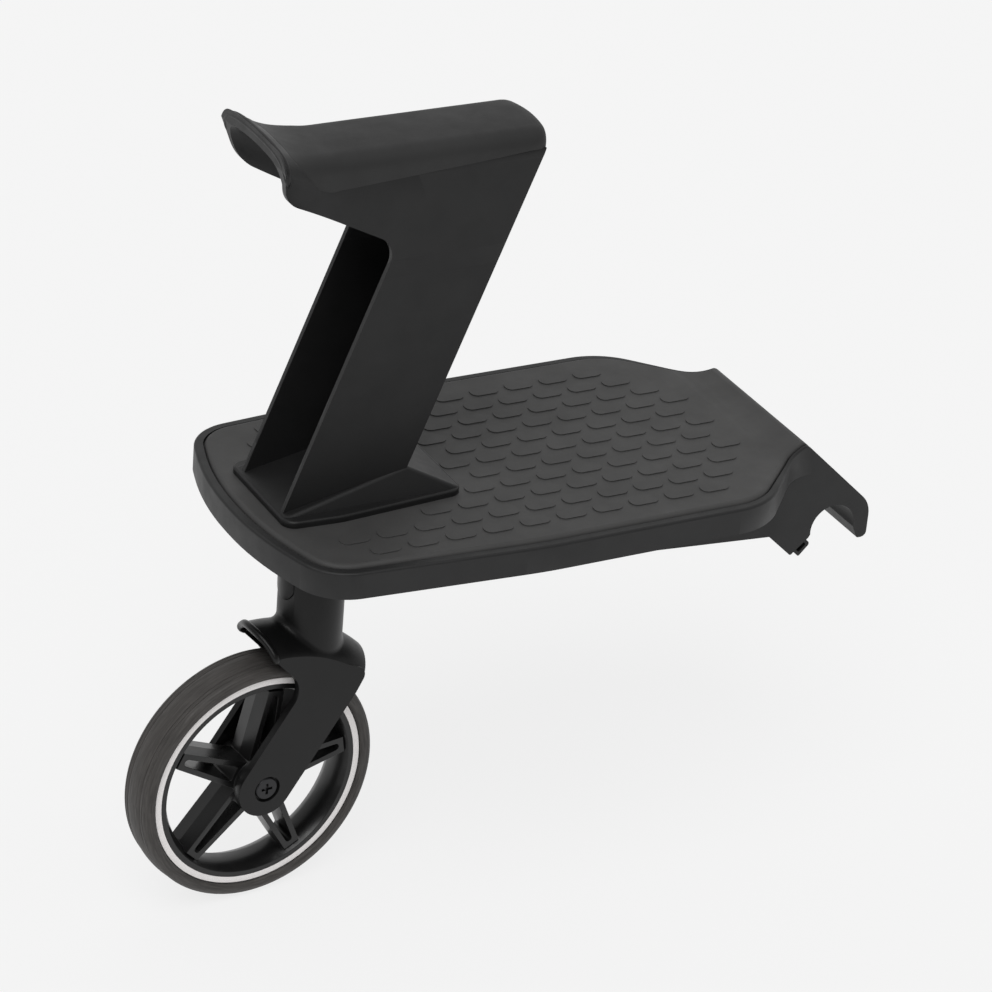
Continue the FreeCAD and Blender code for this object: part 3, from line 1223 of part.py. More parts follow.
def make_rim():
    """Rim, hub and spokes; each spoke is two ribs that spread towards the hub with an open slot between."""
    face = v.rim_face_width / 2
    seat_half = v.tyre_seat_width / 2
    seat_r = v.tyre_seat_d / 2
    ring_floor = face - v.ring_thickness
    body = new_body("rim")
    upper = [(barrel_r, v.rim_barrel_width / 2), (seat_r - v.rim_mouth_wall, face), (ring_inner_r, face),
             (ring_inner_r, ring_floor), (ring_outer_r, ring_floor), (ring_outer_r, face),
             (flange_r, face), (flange_r, seat_half), (seat_r, seat_half)]
    rim = body_sketch(body, "rim_section", "XY_Plane", polygon(upper + [(x, -y) for x, y in reversed(upper)]))
    body_feature(body, "Revolution", "rim_turn", rim, ReferenceAxis=(rim, ["V_Axis"]), Angle=360)

    # One spoke: widest at the parting line, with drafted flanks, from inside the hub into the rim.
    hub_r = v.hub_d / 2
    plan = spoke_plan(v.hub_bore_d / 2, barrel_r + v.spoke_bridge, 0.0, 0.0, 0.0)
    spoke_sketch = body_sketch(body, "spoke_plan", "XZ_Plane", plan)
    spoke = body_feature(body, "Pad", "spoke", spoke_sketch, SideType="Two sides")
    for side in ("", "2"):
        spoke.setExpression("Length" + side, "Sizes.spoke_depth / 2")
        spoke.setExpression("TaperAngle" + side, "-Sizes.spoke_draft")
    slot_end = barrel_r - v.spoke_bridge
    slot_plan = spoke_plan(hub_r + v.spoke_bridge, slot_end, v.spoke_rib, v.slot_corner, spoke_half(slot_end))
    slot = body_sketch(body, "slot_plan", "XZ_Plane", slot_plan, -v.spoke_depth / 2)
    pocket = body_feature(body, "Pocket", "spoke_slot", slot, "Sizes.spoke_depth", Reversed=True)
    pattern = body.newObject("PartDesign::PolarPattern", "spokes")
    pattern.Originals = [spoke, pocket]
    pattern.Axis = ([f for f in body.Origin.OriginFeatures if f.Role == "Y_Axis"][0], [""])
    pattern.Angle = 360
    pattern.setExpression("Occurrences", "Sizes.spoke_count")
    body.Tip = pattern

    half = v.hub_width / 2
    hub = body_sketch(body, "hub_section", "XY_Plane", ring_section(0, hub_r, -half, half))
    body_feature(body, "Revolution", "hub_turn", hub, ReferenceAxis=(hub, ["V_Axis"]), Angle=360)
    seat = half - v.bearing_width
    lower = [(0, -half), (v.bearing_d / 2, -half), (v.bearing_d / 2, -seat), (v.hub_bore_d / 2, -seat)]
    bore = body_sketch(body, "hub_bore", "XY_Plane", polygon(lower + [(x, -y) for x, y in reversed(lower)]))
    body_feature(body, "Groove", "bearing_seats", bore, ReferenceAxis=(bore, ["V_Axis"]), Angle=360)
    turn = FreeCAD.Placement(V(), FreeCAD.Rotation(V(0, -1, 0), v.spoke_angle))
    keep(body, "wheel_rim", WHEEL.multiply(turn))


def ring_section(inner, outer, low, high):
    return polygon([(inner, low), (outer, low), (outer, high), (inner, high)])


def make_wheel_rings():
    face = v.rim_face_width / 2
    for name, side_sign in (("reflector_ring_right", -1), ("reflector_ring_left", 1)):
        low, high = sorted((side_sign * face, side_sign * (face - v.ring_thickness)))
        turned(name, ring_section(ring_inner_r, ring_outer_r, low, high), "XY_Plane", WHEEL)


def make_bearings():
    """Ball bearings at both ends of the hub, their spacer, and washers that keep the legs off them."""
    inner = v.axle_d / 2 + v.running_fit
    half = v.hub_width / 2
    for name, side_sign in (("bearing_right", -1), ("bearing_left", 1)):
        low, high = sorted((side_sign * half, side_sign * (half - v.bearing_width)))
        turned(name, ring_section(inner, v.bearing_d / 2, low, high), "XY_Plane", WHEEL)
    gap = half - v.bearing_width
    turned("bearing_spacer", ring_section(inner, v.spacer_d / 2, -gap, gap), "XY_Plane", WHEEL)
    for name, side_sign in (("axle_washer_right", -1), ("axle_washer_left", 1)):
        low, high = sorted((side_sign * (half + v.running_fit), side_sign * v.leg_inner))
        turned(name, ring_section(v.axle_d / 2, v.washer_d / 2, low, high), "XY_Plane", WHEEL)


def make_axle():
    """Barrel with a head at the left leg, and the cross-recessed screw that closes it at the right leg."""
    head = leg_outer - v.axle_recess
    face = head + v.axle_head
    r = v.axle_d / 2
    bore = v.axle_screw_d / 2
    head_r = v.axle_head_d / 2
    deep = head - v.axle_screw_length
    bevel = v.axle_head / 3
    turned("axle_barrel", polygon([(0, face), (0, -deep), (bore, -deep), (bore, -head), (r, -head), (r, head),
                                   (head_r, head), (head_r, face - bevel), (head_r - bevel, face)]),
           "XY_Plane", WHEEL)
    screw = polygon([(0, -deep), (bore, -deep), (bore, -head), (head_r, -head), (head_r, -face + bevel),
                     (head_r - bevel, -face), (0, -face)])
    plain = turned("axle_screw_turned", screw, "XY_Plane", WHEEL, finished=False)
    arm = v.axle_head_d / 4
    slot = v.axle_screw_d / 6
    floor = v.cross_recess - face
    cross = [block("cross_slot", (-a, -FAR, -b), (a, floor, b), WHEEL) for a, b in ((arm, slot), (slot, arm))]
    keep(cut("axle_screw", plain, cross), "axle_screw")


make_deck_shell()
make_deck_mat()
make_latch()
make_stop_screws()
make_seat()
make_seat_screws()
make_kingpin()
make_kingpin_screws()
make_bushes()
make_fork()
make_button()
make_catch()
make_spring()
make_tyre()
make_rim()
make_wheel_rings()
make_bearings()
make_axle()
doc.recompute()

for thing in doc.Objects:
    if "Invalid" in thing.State or "Error" in thing.State:
        raise RuntimeError(f"{thing.Name} ({thing.Label}) failed: {thing.State}")
os.makedirs("parts", exist_ok=True)
for piece in pieces:
    shape = piece.Shape
    if shape.isNull() or not shape.isValid():
        raise RuntimeError(f"{piece.Label} has no valid shape")
    shape.exportStep(f"parts/{piece.Label}.step")
    print(f"{piece.Label}: {len(shape.Solids)} solids, {shape.Volume / 1000:.2f} cm3")
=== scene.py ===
import json
import math

import bpy
from mathutils import Matrix, Vector


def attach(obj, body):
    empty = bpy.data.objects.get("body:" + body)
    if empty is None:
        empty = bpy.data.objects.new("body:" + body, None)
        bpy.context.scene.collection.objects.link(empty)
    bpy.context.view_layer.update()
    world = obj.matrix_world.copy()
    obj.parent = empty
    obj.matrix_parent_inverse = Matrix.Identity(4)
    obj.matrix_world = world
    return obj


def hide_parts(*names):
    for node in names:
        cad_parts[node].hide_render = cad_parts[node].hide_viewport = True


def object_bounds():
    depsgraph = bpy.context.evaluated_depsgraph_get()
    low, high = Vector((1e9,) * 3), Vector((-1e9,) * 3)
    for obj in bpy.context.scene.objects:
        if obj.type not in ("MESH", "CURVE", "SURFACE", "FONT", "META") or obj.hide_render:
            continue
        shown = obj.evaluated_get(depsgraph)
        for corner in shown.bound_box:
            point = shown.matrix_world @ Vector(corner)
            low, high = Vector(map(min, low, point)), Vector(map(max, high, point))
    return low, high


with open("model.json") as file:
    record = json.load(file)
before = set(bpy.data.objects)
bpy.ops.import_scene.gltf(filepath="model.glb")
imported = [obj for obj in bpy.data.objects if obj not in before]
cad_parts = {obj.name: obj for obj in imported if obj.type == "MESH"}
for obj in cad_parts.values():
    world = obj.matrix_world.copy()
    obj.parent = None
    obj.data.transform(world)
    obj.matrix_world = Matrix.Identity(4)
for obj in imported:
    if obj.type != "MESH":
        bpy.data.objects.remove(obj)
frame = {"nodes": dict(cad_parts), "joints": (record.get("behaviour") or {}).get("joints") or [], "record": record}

MM = 0.001
nodes = frame["nodes"]
joints = {joint["name"]: joint for joint in frame["joints"]}
slots = {part["node"]: part["material_slot"] for part in frame["record"]["subparts"]}
cad_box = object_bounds()
scene = bpy.context.scene
scene.view_settings.view_transform = "Standard"

# The stem, and the wheel at rest: its middle, its axle and the way that it heads
UP = Vector((0.0, 0.0, 1.0))
STEM = Vector(joints["caster_swivel"]["pos_m"])
WHEEL_MIDDLE = Vector(joints["wheel_spin"]["pos_m"])
AXLE = Vector(joints["wheel_spin"]["axis"])
AHEAD = AXLE.cross(UP)
HEADING = math.atan2(AHEAD.y, AHEAD.x)


# Small helpers

def add_object(name, data):
    """An object in the scene that shows some data."""
    thing = bpy.data.objects.new(name, data)
    scene.collection.objects.link(thing)
    return thing


def final_mesh(thing):
    """A mesh of an object's shape with its modifiers applied."""
    bpy.context.view_layer.update()
    return bpy.data.meshes.new_from_object(thing.evaluated_get(bpy.context.evaluated_depsgraph_get()))


def soften(thing, width_mm, angle, segments):
    """Round off the edges that are sharper than an angle in degrees."""
    bevel = thing.modifiers.new("edges", "BEVEL")
    bevel.width = width_mm * MM
    bevel.segments = segments
    bevel.limit_method = "ANGLE"
    bevel.angle_limit = math.radians(angle)
    return bevel


def set_material(mesh, slot):
    """Give a mesh the material of a slot, and no other."""
    mesh.materials.clear()
    mesh.materials.append(MATERIALS[slot])


# Shader nodes: a pattern's colours or gloss change between two of its values

PATTERN_START, PATTERN_END = 0.3, 0.7


def new_material(name):
    """A node material with its shader."""
    material = bpy.data.materials.new(name)
    material.use_nodes = True
    return material, material.node_tree, material.node_tree.nodes["Principled BSDF"]


def add_node(tree, kind, **values):
    """A node with some of its inputs set by name."""
    node = tree.nodes.new(kind)
    for key, value in values.items():
        node.inputs[key].default_value = value
    return node


def object_coords(tree):
    """The place on the piece, in metres."""
    return tree.nodes.new("ShaderNodeTexCoord").outputs["Object"]


def combine(tree, **parts):
    """A vector from separate values, named by axis."""
    node = tree.nodes.new("ShaderNodeCombineXYZ")
    for axis, value in parts.items():
        tree.links.new(value, node.inputs[axis])
    return node.outputs["Vector"]


def vector_math(tree, operation, first, constant=None):
    """One step of vector arithmetic."""
    node = tree.nodes.new("ShaderNodeVectorMath")
    node.operation = operation
    tree.links.new(first, node.inputs[0])
    if constant is not None:
        node.inputs[1].default_value = constant
    return node.outputs["Value" if operation in ("DOT_PRODUCT", "LENGTH") else "Vector"]


def math_node(tree, operation, first, second=None):
    """One step of arithmetic; the second input may be a constant."""
    node = tree.nodes.new("ShaderNodeMath")
    node.operation = operation
    tree.links.new(first, node.inputs[0])
    if isinstance(second, float):
        node.inputs[1].default_value = second
    elif second is not None:
        tree.links.new(second, node.inputs[1])
    return node.outputs["Value"]


def noise(tree, coords, size_mm, detail, roughness=0.55):
    """Noise whose main features are about a size in millimetres."""
    scale = 1.0 / (size_mm * MM)
    node = add_node(tree, "ShaderNodeTexNoise", Scale=scale, Detail=detail, Roughness=roughness)
    tree.links.new(coords, node.inputs["Vector"])
    return node.outputs["Fac"]


def ramp(tree, value, low, high, start=PATTERN_START, end=PATTERN_END):
    """A value turned into a colour between two ends."""
    node = tree.nodes.new("ShaderNodeValToRGB")
    node.color_ramp.elements[0].position = start
    node.color_ramp.elements[1].position = end
    for element, colour in zip(node.color_ramp.elements, (low, high)):
        element.color = (*colour, 1.0)
    tree.links.new(value, node.inputs["Fac"])
    return node.outputs["Color"]


def grey(value):
    """A grey with all three channels at one value."""
    return (value, value, value)


def scaled(colour, share):
    """A colour made darker or paler by a share."""
    return tuple(channel * share for channel in colour)


def paint(tree, shader, pattern, low, high, start=PATTERN_START, end=PATTERN_END):
    """A base colour that follows a pattern."""
    tree.links.new(ramp(tree, pattern, low, high, start, end), shader.inputs["Base Color"])


def gloss(tree, shader, pattern, low, high):
    """A roughness that follows a pattern."""
    tree.links.new(ramp(tree, pattern, grey(low), grey(high)), shader.inputs["Roughness"])


def bump(tree, shader, height, depth_mm, strength, below=None):
    """Relief from a height between 0 and 1, on top of another relief if there is one."""
    node = add_node(tree, "ShaderNodeBump", Strength=strength, Distance=depth_mm * MM)
    tree.links.new(height, node.inputs["Height"])
    if below is not None:
        tree.links.new(below, node.inputs["Normal"])
    tree.links.new(node.outputs["Normal"], shader.inputs["Normal"])
    return node.outputs["Normal"]


# Moulded plastic and rubber

DRIFT_MM, DRIFT_SHARE = 45.0, 0.12
HANDLING_MM, HANDLING_GLOSS = 18.0, 0.06
GRAIN_STRENGTH = 0.35


def moulded(name, colour, rough, grain_mm=0.55, grain_depth=0.05, specular=0.4):
    """Moulded plastic or rubber: eroded grain, slow colour drift and handling marks in the gloss."""
    material, tree, shader = new_material(name)
    coords = object_coords(tree)
    drift = noise(tree, coords, DRIFT_MM, detail=5.0)
    paint(tree, shader, drift, scaled(colour, 1 - DRIFT_SHARE), scaled(colour, 1 + DRIFT_SHARE))
    handling = noise(tree, coords, HANDLING_MM, detail=6.0, roughness=0.65)
    gloss(tree, shader, handling, rough - HANDLING_GLOSS, rough + HANDLING_GLOSS)
    bump(tree, shader, noise(tree, coords, grain_mm, detail=2.0), grain_depth, GRAIN_STRENGTH)
    shader.inputs["Specular IOR Level"].default_value = specular
    return material


# Tyre: one radian counts for only a few millimetres, so that the buffing marks run long round it

MARK_MM, MARK_RADIAN_MM = 1.1, 6.0
MARK_DARK, MARK_PALE = 0.72, 1.3
MARK_START, MARK_END = 0.32, 0.7
MARK_GLOSS = 0.08
MARK_DEPTH_MM = 0.12
LINE_PITCH_MM, LINE_DEPTH_MM = 1.5, 0.04
TYRE_RELIEF = 0.5
TYRE_SPECULAR = 0.35


def tyre_rubber(name, colour, rough):
    """Tyre: fine moulding lines round the side walls and buffing marks along them."""
    material, tree, shader = new_material(name)
    offset = vector_math(tree, "SUBTRACT", object_coords(tree), WHEEL_MIDDLE)
    across = vector_math(tree, "DOT_PRODUCT", offset, AXLE)
    ahead = vector_math(tree, "DOT_PRODUCT", offset, AHEAD)
    up = vector_math(tree, "DOT_PRODUCT", offset, UP)
    radius = vector_math(tree, "LENGTH", combine(tree, X=ahead, Y=up))
    around = math_node(tree, "MULTIPLY", math_node(tree, "ARCTAN2", up, ahead), MARK_RADIAN_MM * MM)
    marks = noise(tree, combine(tree, X=radius, Y=across, Z=around), MARK_MM, detail=4.0, roughness=0.6)
    paint(tree, shader, marks, scaled(colour, MARK_DARK), scaled(colour, MARK_PALE), MARK_START, MARK_END)
    gloss(tree, shader, marks, rough + MARK_GLOSS, rough - MARK_GLOSS)
    phase = math_node(tree, "MULTIPLY", radius, 2 * math.pi / (LINE_PITCH_MM * MM))
    relief = bump(tree, shader, math_node(tree, "SINE", phase), LINE_DEPTH_MM, TYRE_RELIEF)
    bump(tree, shader, marks, MARK_DEPTH_MM, TYRE_RELIEF, below=relief)
    shader.inputs["Specular IOR Level"].default_value = TYRE_SPECULAR
    return material


# Metal and reflective film

METAL_SMEAR_MM = 3.0
METAL_DARK, METAL_GLOSS = 0.85, 0.08
FILM_CELL_MM = 0.7
FILM_DARK, FILM_PALE = (0.80, 0.77, 0.76), (0.93, 0.90, 0.89)
FILM_START, FILM_END = 0.0, 0.6
FILM_ROUGH = 0.35


def metal(name, colour, rough):
    """Turned or plated metal with small smears in its colour and gloss."""
    material, tree, shader = new_material(name)
    smear = noise(tree, object_coords(tree), METAL_SMEAR_MM, detail=6.0)
    paint(tree, shader, smear, scaled(colour, METAL_DARK), colour)
    gloss(tree, shader, smear, rough - METAL_GLOSS, rough + METAL_GLOSS)
    shader.inputs["Metallic"].default_value = 1.0
    return material


def reflective(name):
    """Retroreflective film: pale, with a fine cell pattern."""
    material, tree, shader = new_material(name)
    cells = add_node(tree, "ShaderNodeTexVoronoi", Scale=1.0 / (FILM_CELL_MM * MM))
    tree.links.new(object_coords(tree), cells.inputs["Vector"])
    paint(tree, shader, cells.outputs["Distance"], FILM_DARK, FILM_PALE, FILM_START, FILM_END)
    shader.inputs["Roughness"].default_value = FILM_ROUGH
    return material


# The materials, one for each slot of the record

MATERIALS = {
    "deck_plastic": moulded("deck_plastic", (0.0135, 0.0135, 0.0137), 0.50, specular=0.34),
    "mat_rubber": moulded("mat_rubber", (0.046, 0.0455, 0.045), 0.60, grain_mm=0.4, specular=0.38),
    "seat_plastic": moulded("seat_plastic", (0.0105, 0.0105, 0.0107), 0.48, specular=0.32),
    "saddle_skin": moulded(
        "saddle_skin", (0.024, 0.024, 0.024), 0.56, grain_mm=0.8, grain_depth=0.08, specular=0.28),
    # the caster's plastic is darker than the deck's partly as painted shade: the stem and hood sit in the deck's
    # shade
    "caster_plastic": moulded("caster_plastic", (0.0065, 0.0065, 0.0066), 0.36, specular=0.26),
    "wheel_plastic": moulded("wheel_plastic", (0.0070, 0.0070, 0.0071), 0.32, specular=0.42),
    "tyre_rubber": tyre_rubber("tyre_rubber", (0.055, 0.051, 0.048), 0.60),
    "reflective": reflective("reflective"),
    "steel": metal("steel", (0.55, 0.55, 0.55), 0.35),
    "dark_steel": metal("dark_steel", (0.05, 0.05, 0.052), 0.45),
    "bush_plastic": moulded("bush_plastic", (0.6, 0.6, 0.57), 0.5),
}


# Dressing of the CAD nodes: widths of their soft edges, in millimetres

SOFT_EDGES = {
    "deck_shell": 0.8,
    "deck_mat": 0.4,
    "seat_shell": 1.2,
    "caster_fork": 1.0,
    "wheel_rim": 0.6,
    "tyre": 0.2,
    "axle_latch": 0.4,
    "release_button": 0.6,
    "axle_screw": 0.25,
    "axle_barrel": 0.25,
}
EDGE_ANGLE, EDGE_SEGMENTS = 35.0, 3
WELD_MM = 0.005


def dress(name):
    """Give a CAD node its material and, where a width is set, soft edges between its welded faces."""
    thing = nodes[name]
    set_material(thing.data, slots[name])
    if name in SOFT_EDGES:
        thing.modifiers.new("weld", "WELD").merge_threshold = WELD_MM * MM
        soften(thing, SOFT_EDGES[name], EDGE_ANGLE, EDGE_SEGMENTS).harden_normals = True


for name in nodes:
    dress(name)


# Saddle skin, in millimetres: on the solid's lines, with fuller shoulders and a rounded nose

REAR_X = -355.6
POST_HALF_WIDTH = 27.0
FLARE_Z = 195.0
BULGE_OUT, BULGE_UP = 0.3, 0.6
# behind its start, the lip sweeps outwards and upwards
LIP_START, LIP_END = -322.0, -364.6
LIP_HALF_WIDTH, LIP_RISE = 41.0, 12.5
FLANGE_Z, FLANGE_RISE = 254.0, 17.5
# from the rear forwards the solid's crown turns into a fuller one, with round shoulders and a flatter top
SOLID_TOP = 269.0
SOLID_CROWN = ((1.0, 0.0), (0.86, 0.66), (0.50, 0.93), (0.0, 1.0))
FULL_TOP, FULL_DROP, SHOULDER = 270.3, 0.8, 10.0
FULL_FROM, FULL_TO = REAR_X, -330.0
# the seam has a gentle slope, a round bend and a steep rise to the lip
SEAM_BEND, SEAM_RADIUS = (-336.0, 250.2), 18.0
SEAM_SLOPE, SEAM_STEEP = math.radians(3.8), math.radians(51.5)
SEAM_REACH = SEAM_RADIUS * math.tan((SEAM_SLOPE + SEAM_STEEP) / 2)
SEAM_AHEAD = SEAM_BEND[0] + SEAM_REACH * math.cos(SEAM_SLOPE)
SEAM_BEHIND = SEAM_BEND[0] - SEAM_REACH * math.cos(SEAM_STEEP)
SEAM_MIDDLE = (
    SEAM_AHEAD - SEAM_RADIUS * math.sin(SEAM_SLOPE),
    SEAM_BEND[1] + SEAM_REACH * math.sin(SEAM_SLOPE) + SEAM_RADIUS * math.cos(SEAM_SLOPE),
)
# the front face leans ahead, and the nose rounds over into it
LEAN, FRONT_FOOT = math.tan(math.radians(21.4)), (-280.8, 56.8)
NOSE_LENGTH = 9.0
NOSE_OUTLINE = ((25.2, 259.0), (23.2, 261.4), (19.4, 263.9), (11.6, 266.6), (0.0, 267.7))
BODY_END = FRONT_FOOT[0] + LEAN * (FULL_TOP - FRONT_FOOT[1]) - NOSE_LENGTH
# how finely it is drawn, and the shortest step that a line may be divided by
SHORTEST = 1e-9
CURVE_STEPS, NOSE_STEPS = 12, 8
CROWN_POINTS, FLANK_POINTS, TOP_POINTS = 48, 12, 12
SHOULDER_DEGREES = 6
HALF_COLUMNS = 20
LIP_ROWS, LIP_STEP = 28, 1.4
BODY_STEP = 4.0
LEANING_ROWS, LEANING_LENGTH = 8, 26
NOSE_ROWS = 12
SKIN_THICKNESS = 3.0
SKIN_EDGE, SKIN_EDGE_ANGLE, SKIN_EDGE_SEGMENTS = 0.4, 50.0, 2


def smooth(share):
    """A share from 0 to 1 that starts and ends gently."""
    share = min(1.0, max(0.0, share))
    return share * share * (3 - 2 * share)


def between(first, second, share):
    """The point at a share of the way from one point to another."""
    return tuple(a + (b - a) * share for a, b in zip(first, second))


def catmull_value(a, b, c, d, t):
    """The value at a share t of the way from b to c, on a smooth line through four values."""
    square = 2 * a - 5 * b + 4 * c - d
    cube = 3 * b - a - 3 * c + d
    return 0.5 * (2 * b + (c - a) * t + square * t * t + cube * t ** 3)


def catmull(points, steps):
    """A smooth line through points, mirrored at its last one."""
    before = (2 * points[0][0] - points[1][0], 2 * points[0][1] - points[1][1])
    after = (2 * points[-1][0] - points[-2][0], points[-2][1])
    line = [before, *points, after]
    out = []
    for four in zip(line, line[1:], line[2:], line[3:]):
        for k in range(steps):
            out.append(tuple(catmull_value(*values, k / steps) for values in zip(*four)))
    return out + [points[-1]]


def resampled(line, count):
    """The same line with evenly spaced points."""
    at = [0.0]
    for p, q in zip(line, line[1:]):
        at.append(at[-1] + math.dist(p, q))
    out, k = [], 0
    for n in range(count + 1):
        want = at[-1] * n / count
        while k < len(line) - 2 and at[k + 1] < want:
            k += 1
        length = max(SHORTEST, at[k + 1] - at[k])
        out.append(between(line[k], line[k + 1], (want - at[k]) / length))
    return out


def parabola(points, z):
    """The y at a height z on the parabola through three points."""
    total = 0.0
    for y, own in points:
        for _, other in points:
            if other != own:
                y *= (z - other) / (own - other)
        total += y
    return total


def above(line, height):
    """The part of a line that lies above a height."""
    kept = [p for p, q in zip(line, line[1:]) if q[1] > height] + [line[-1]]
    if kept[0][1] < height and len(kept) > 1:
        p, q = kept[:2]
        kept[0] = between(p, q, (height - p[1]) / (q[1] - p[1]))
    return kept


def seam_height(x):
    """Height of the seam along the flank."""
    if x >= SEAM_AHEAD:
        return SEAM_BEND[1] + math.tan(SEAM_SLOPE) * (x - SEAM_BEND[0])
    if x <= SEAM_BEHIND:
        return SEAM_BEND[1] - math.tan(SEAM_STEEP) * (x - SEAM_BEND[0])
    return SEAM_MIDDLE[1] - math.sqrt(SEAM_RADIUS ** 2 - (x - SEAM_MIDDLE[0]) ** 2)


def full_crown(width, flange, top):
    """The fuller crown from the flange to the middle of the top: a round shoulder, then a slight rise."""
    y, z = width - SHOULDER, top - FULL_DROP - SHOULDER
    line = [(width, flange)]
    for degrees in range(0, 90, SHOULDER_DEGREES):
        a = math.radians(degrees)
        line.append((y + SHOULDER * math.cos(a), z + SHOULDER * math.sin(a)))
    for n in range(TOP_POINTS + 1):
        share = 1 - n / TOP_POINTS
        line.append((y * share, top - FULL_DROP * share ** 2))
    return line


def half_section(x):
    """Left half of the cross section from the seam to the middle of the top, as (y, z)."""
    sweep = max(0.0, (LIP_START - x) / (LIP_START - LIP_END)) ** 2
    width = POST_HALF_WIDTH + (LIP_HALF_WIDTH - POST_HALF_WIDTH) * sweep
    flange = FLANGE_Z + FLANGE_RISE * sweep
    rise = SOLID_TOP + LIP_RISE * sweep - flange
    solid = catmull([(a * width, flange + b * rise) for a, b in SOLID_CROWN], CURVE_STEPS)
    full = full_crown(width, flange, FULL_TOP + LIP_RISE * sweep)
    share = smooth((x - FULL_FROM) / (FULL_TO - FULL_FROM))
    pairs = zip(resampled(solid, CROWN_POINTS), resampled(full, CROWN_POINTS))
    crown = [between(p, q, share) for p, q in pairs]

    foot = (POST_HALF_WIDTH, FLARE_Z)
    edge = (width, flange)
    bulge = (foot[0] + BULGE_OUT * (edge[0] - foot[0]), foot[1] + BULGE_UP * (edge[1] - foot[1]))
    seam = seam_height(x)
    low = min(flange, seam)
    heights = [low + (flange - low) * n / FLANK_POINTS for n in range(FLANK_POINTS)]
    flank = [(parabola((foot, bulge, edge), z), z) for z in heights]
    return resampled(above(flank + crown, seam), HALF_COLUMNS)


def saddle_rows():
    """Half rows of points, each from the left seam to the middle, from the skin's rear end to its front."""
    xs = [REAR_X + LIP_STEP * n for n in range(LIP_ROWS)]
    while xs[-1] < BODY_END - LEANING_LENGTH:
        xs.append(xs[-1] + BODY_STEP)
    rows = [[(x, y, z) for y, z in half_section(x)] for x in xs]
    # towards the nose the rows lean over until they lie along the front plane
    for n in range(1, LEANING_ROWS + 1):
        share = n / LEANING_ROWS
        x = xs[-1] + (BODY_END - xs[-1]) * share
        rows.append([(x + share * LEAN * (z - FULL_TOP), y, z) for y, z in half_section(x)])
    # the nose is a quarter turn from the last section to its own outline
    last = half_section(BODY_END)
    nose = resampled(catmull(NOSE_OUTLINE, NOSE_STEPS), HALF_COLUMNS)
    for n in range(1, NOSE_ROWS + 1):
        turn = math.radians(90 * n / NOSE_ROWS)
        x = BODY_END + NOSE_LENGTH * math.sin(turn)
        outline = [between(p, q, 1 - math.cos(turn)) for p, q in zip(last, nose)]
        rows.append([(x + LEAN * (z - FULL_TOP), y, z) for y, z in outline])
    return rows


def make_saddle():
    """The skin from its rows of points, closed at the nose and thickened inwards."""
    rows = [half + [(x, -y, z) for x, y, z in reversed(half[:-1])] for half in saddle_rows()]
    across = len(rows[0])
    faces = []
    for r in range(len(rows) - 1):
        for c in range(across - 1):
            first = r * across + c
            faces.append((first, first + 1, first + across + 1, first + across))
    nose = (len(rows) - 1) * across
    for c in range(across // 2):
        ring = (c, c + 1, across - 2 - c, across - 1 - c)
        faces.append(tuple(dict.fromkeys(nose + n for n in ring)))
    mesh = bpy.data.meshes.new("saddle_pad")
    mesh.from_pydata([Vector(p) * MM for row in rows for p in row], [], faces)
    mesh.validate()
    drawn = add_object("saddle_pad", mesh)
    skin = drawn.modifiers.new("skin", "SOLIDIFY")
    skin.thickness = SKIN_THICKNESS * MM
    skin.offset = -1.0
    soften(drawn, SKIN_EDGE, SKIN_EDGE_ANGLE, SKIN_EDGE_SEGMENTS)
    solid = final_mesh(drawn)
    drawn.modifiers.clear()
    drawn.data = solid
    solid.shade_smooth()
    solid.set_sharp_from_angle(angle=math.radians(SKIN_EDGE_ANGLE))
    set_material(solid, "saddle_skin")
    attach(drawn, "board")
    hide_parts("saddle_cover")


make_saddle()


# Rolled edges, in millimetres: the end of the seat's rear lip, and the rear edge of the hood

LIP_RADIUS = 2.3
LIP_PATH = (
    (-362.5, 0.0, 278.6), (-362.5, 11.0, 278.4), (-362.5, 20.0, 277.8),
    (-362.5, 28.0, 276.6), (-362.5, 33.4, 274.6), (-362.4, 36.6, 271.6),
    (-361.9, 37.6, 268.0), (-361.0, 36.9, 264.4), (-360.0, 35.8, 261.0),
)
# from the stem, in the caster's own directions: ahead, across and up
HOOD_RADIUS = 2.2
HOOD_PATH = (
    (-37.8, 0.0, -24.3), (-37.5, 4.5, -24.7), (-36.6, 9.0, -26.1),
    (-35.3, 13.0, -28.2), (-34.2, 16.4, -31.0), (-33.7, 18.9, -33.2),
    (-33.3, 19.9, -35.0), (-32.2, 19.6, -37.2), (-31.0, 19.2, -39.0),
)
CASTER_PLACE = Matrix.Translation(STEM) @ Matrix.Rotation(HEADING, 4, "Z")
# shares of the radius at the last points of a path
ROLL_ENDS = (0.8, 0.15)
ROLL_ORDER = 3
ROLL_FINENESS = 6


def make_roll(name, body, slot, radius, path, place):
    """A round bar from side to side, given by its left half, that thins out at both ends."""
    shares = [1.0] * (len(path) - len(ROLL_ENDS)) + list(ROLL_ENDS)
    left = list(zip(path, shares))
    right = [((x, -y, z), share) for (x, y, z), share in reversed(left[1:])]
    curve = bpy.data.curves.new(name, "CURVE")
    curve.dimensions = "3D"
    curve.bevel_depth = radius * MM
    curve.bevel_resolution = ROLL_FINENESS
    curve.use_fill_caps = True
    line = curve.splines.new("NURBS")
    line.points.add(len(left) + len(right) - 1)
    for point, (at, share) in zip(line.points, right + left):
        point.co = (*(Vector(at) * MM), 1.0)
        point.radius = share
    line.order_u = ROLL_ORDER
    line.use_endpoint_u = True
    line.resolution_u = ROLL_FINENESS
    drawn = add_object(name + "_curve", curve)
    mesh = final_mesh(drawn)
    bpy.data.objects.remove(drawn)
    mesh.transform(place)
    mesh.shade_smooth()
    set_material(mesh, slot)
    roll = add_object(name, mesh)
    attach(roll, body)


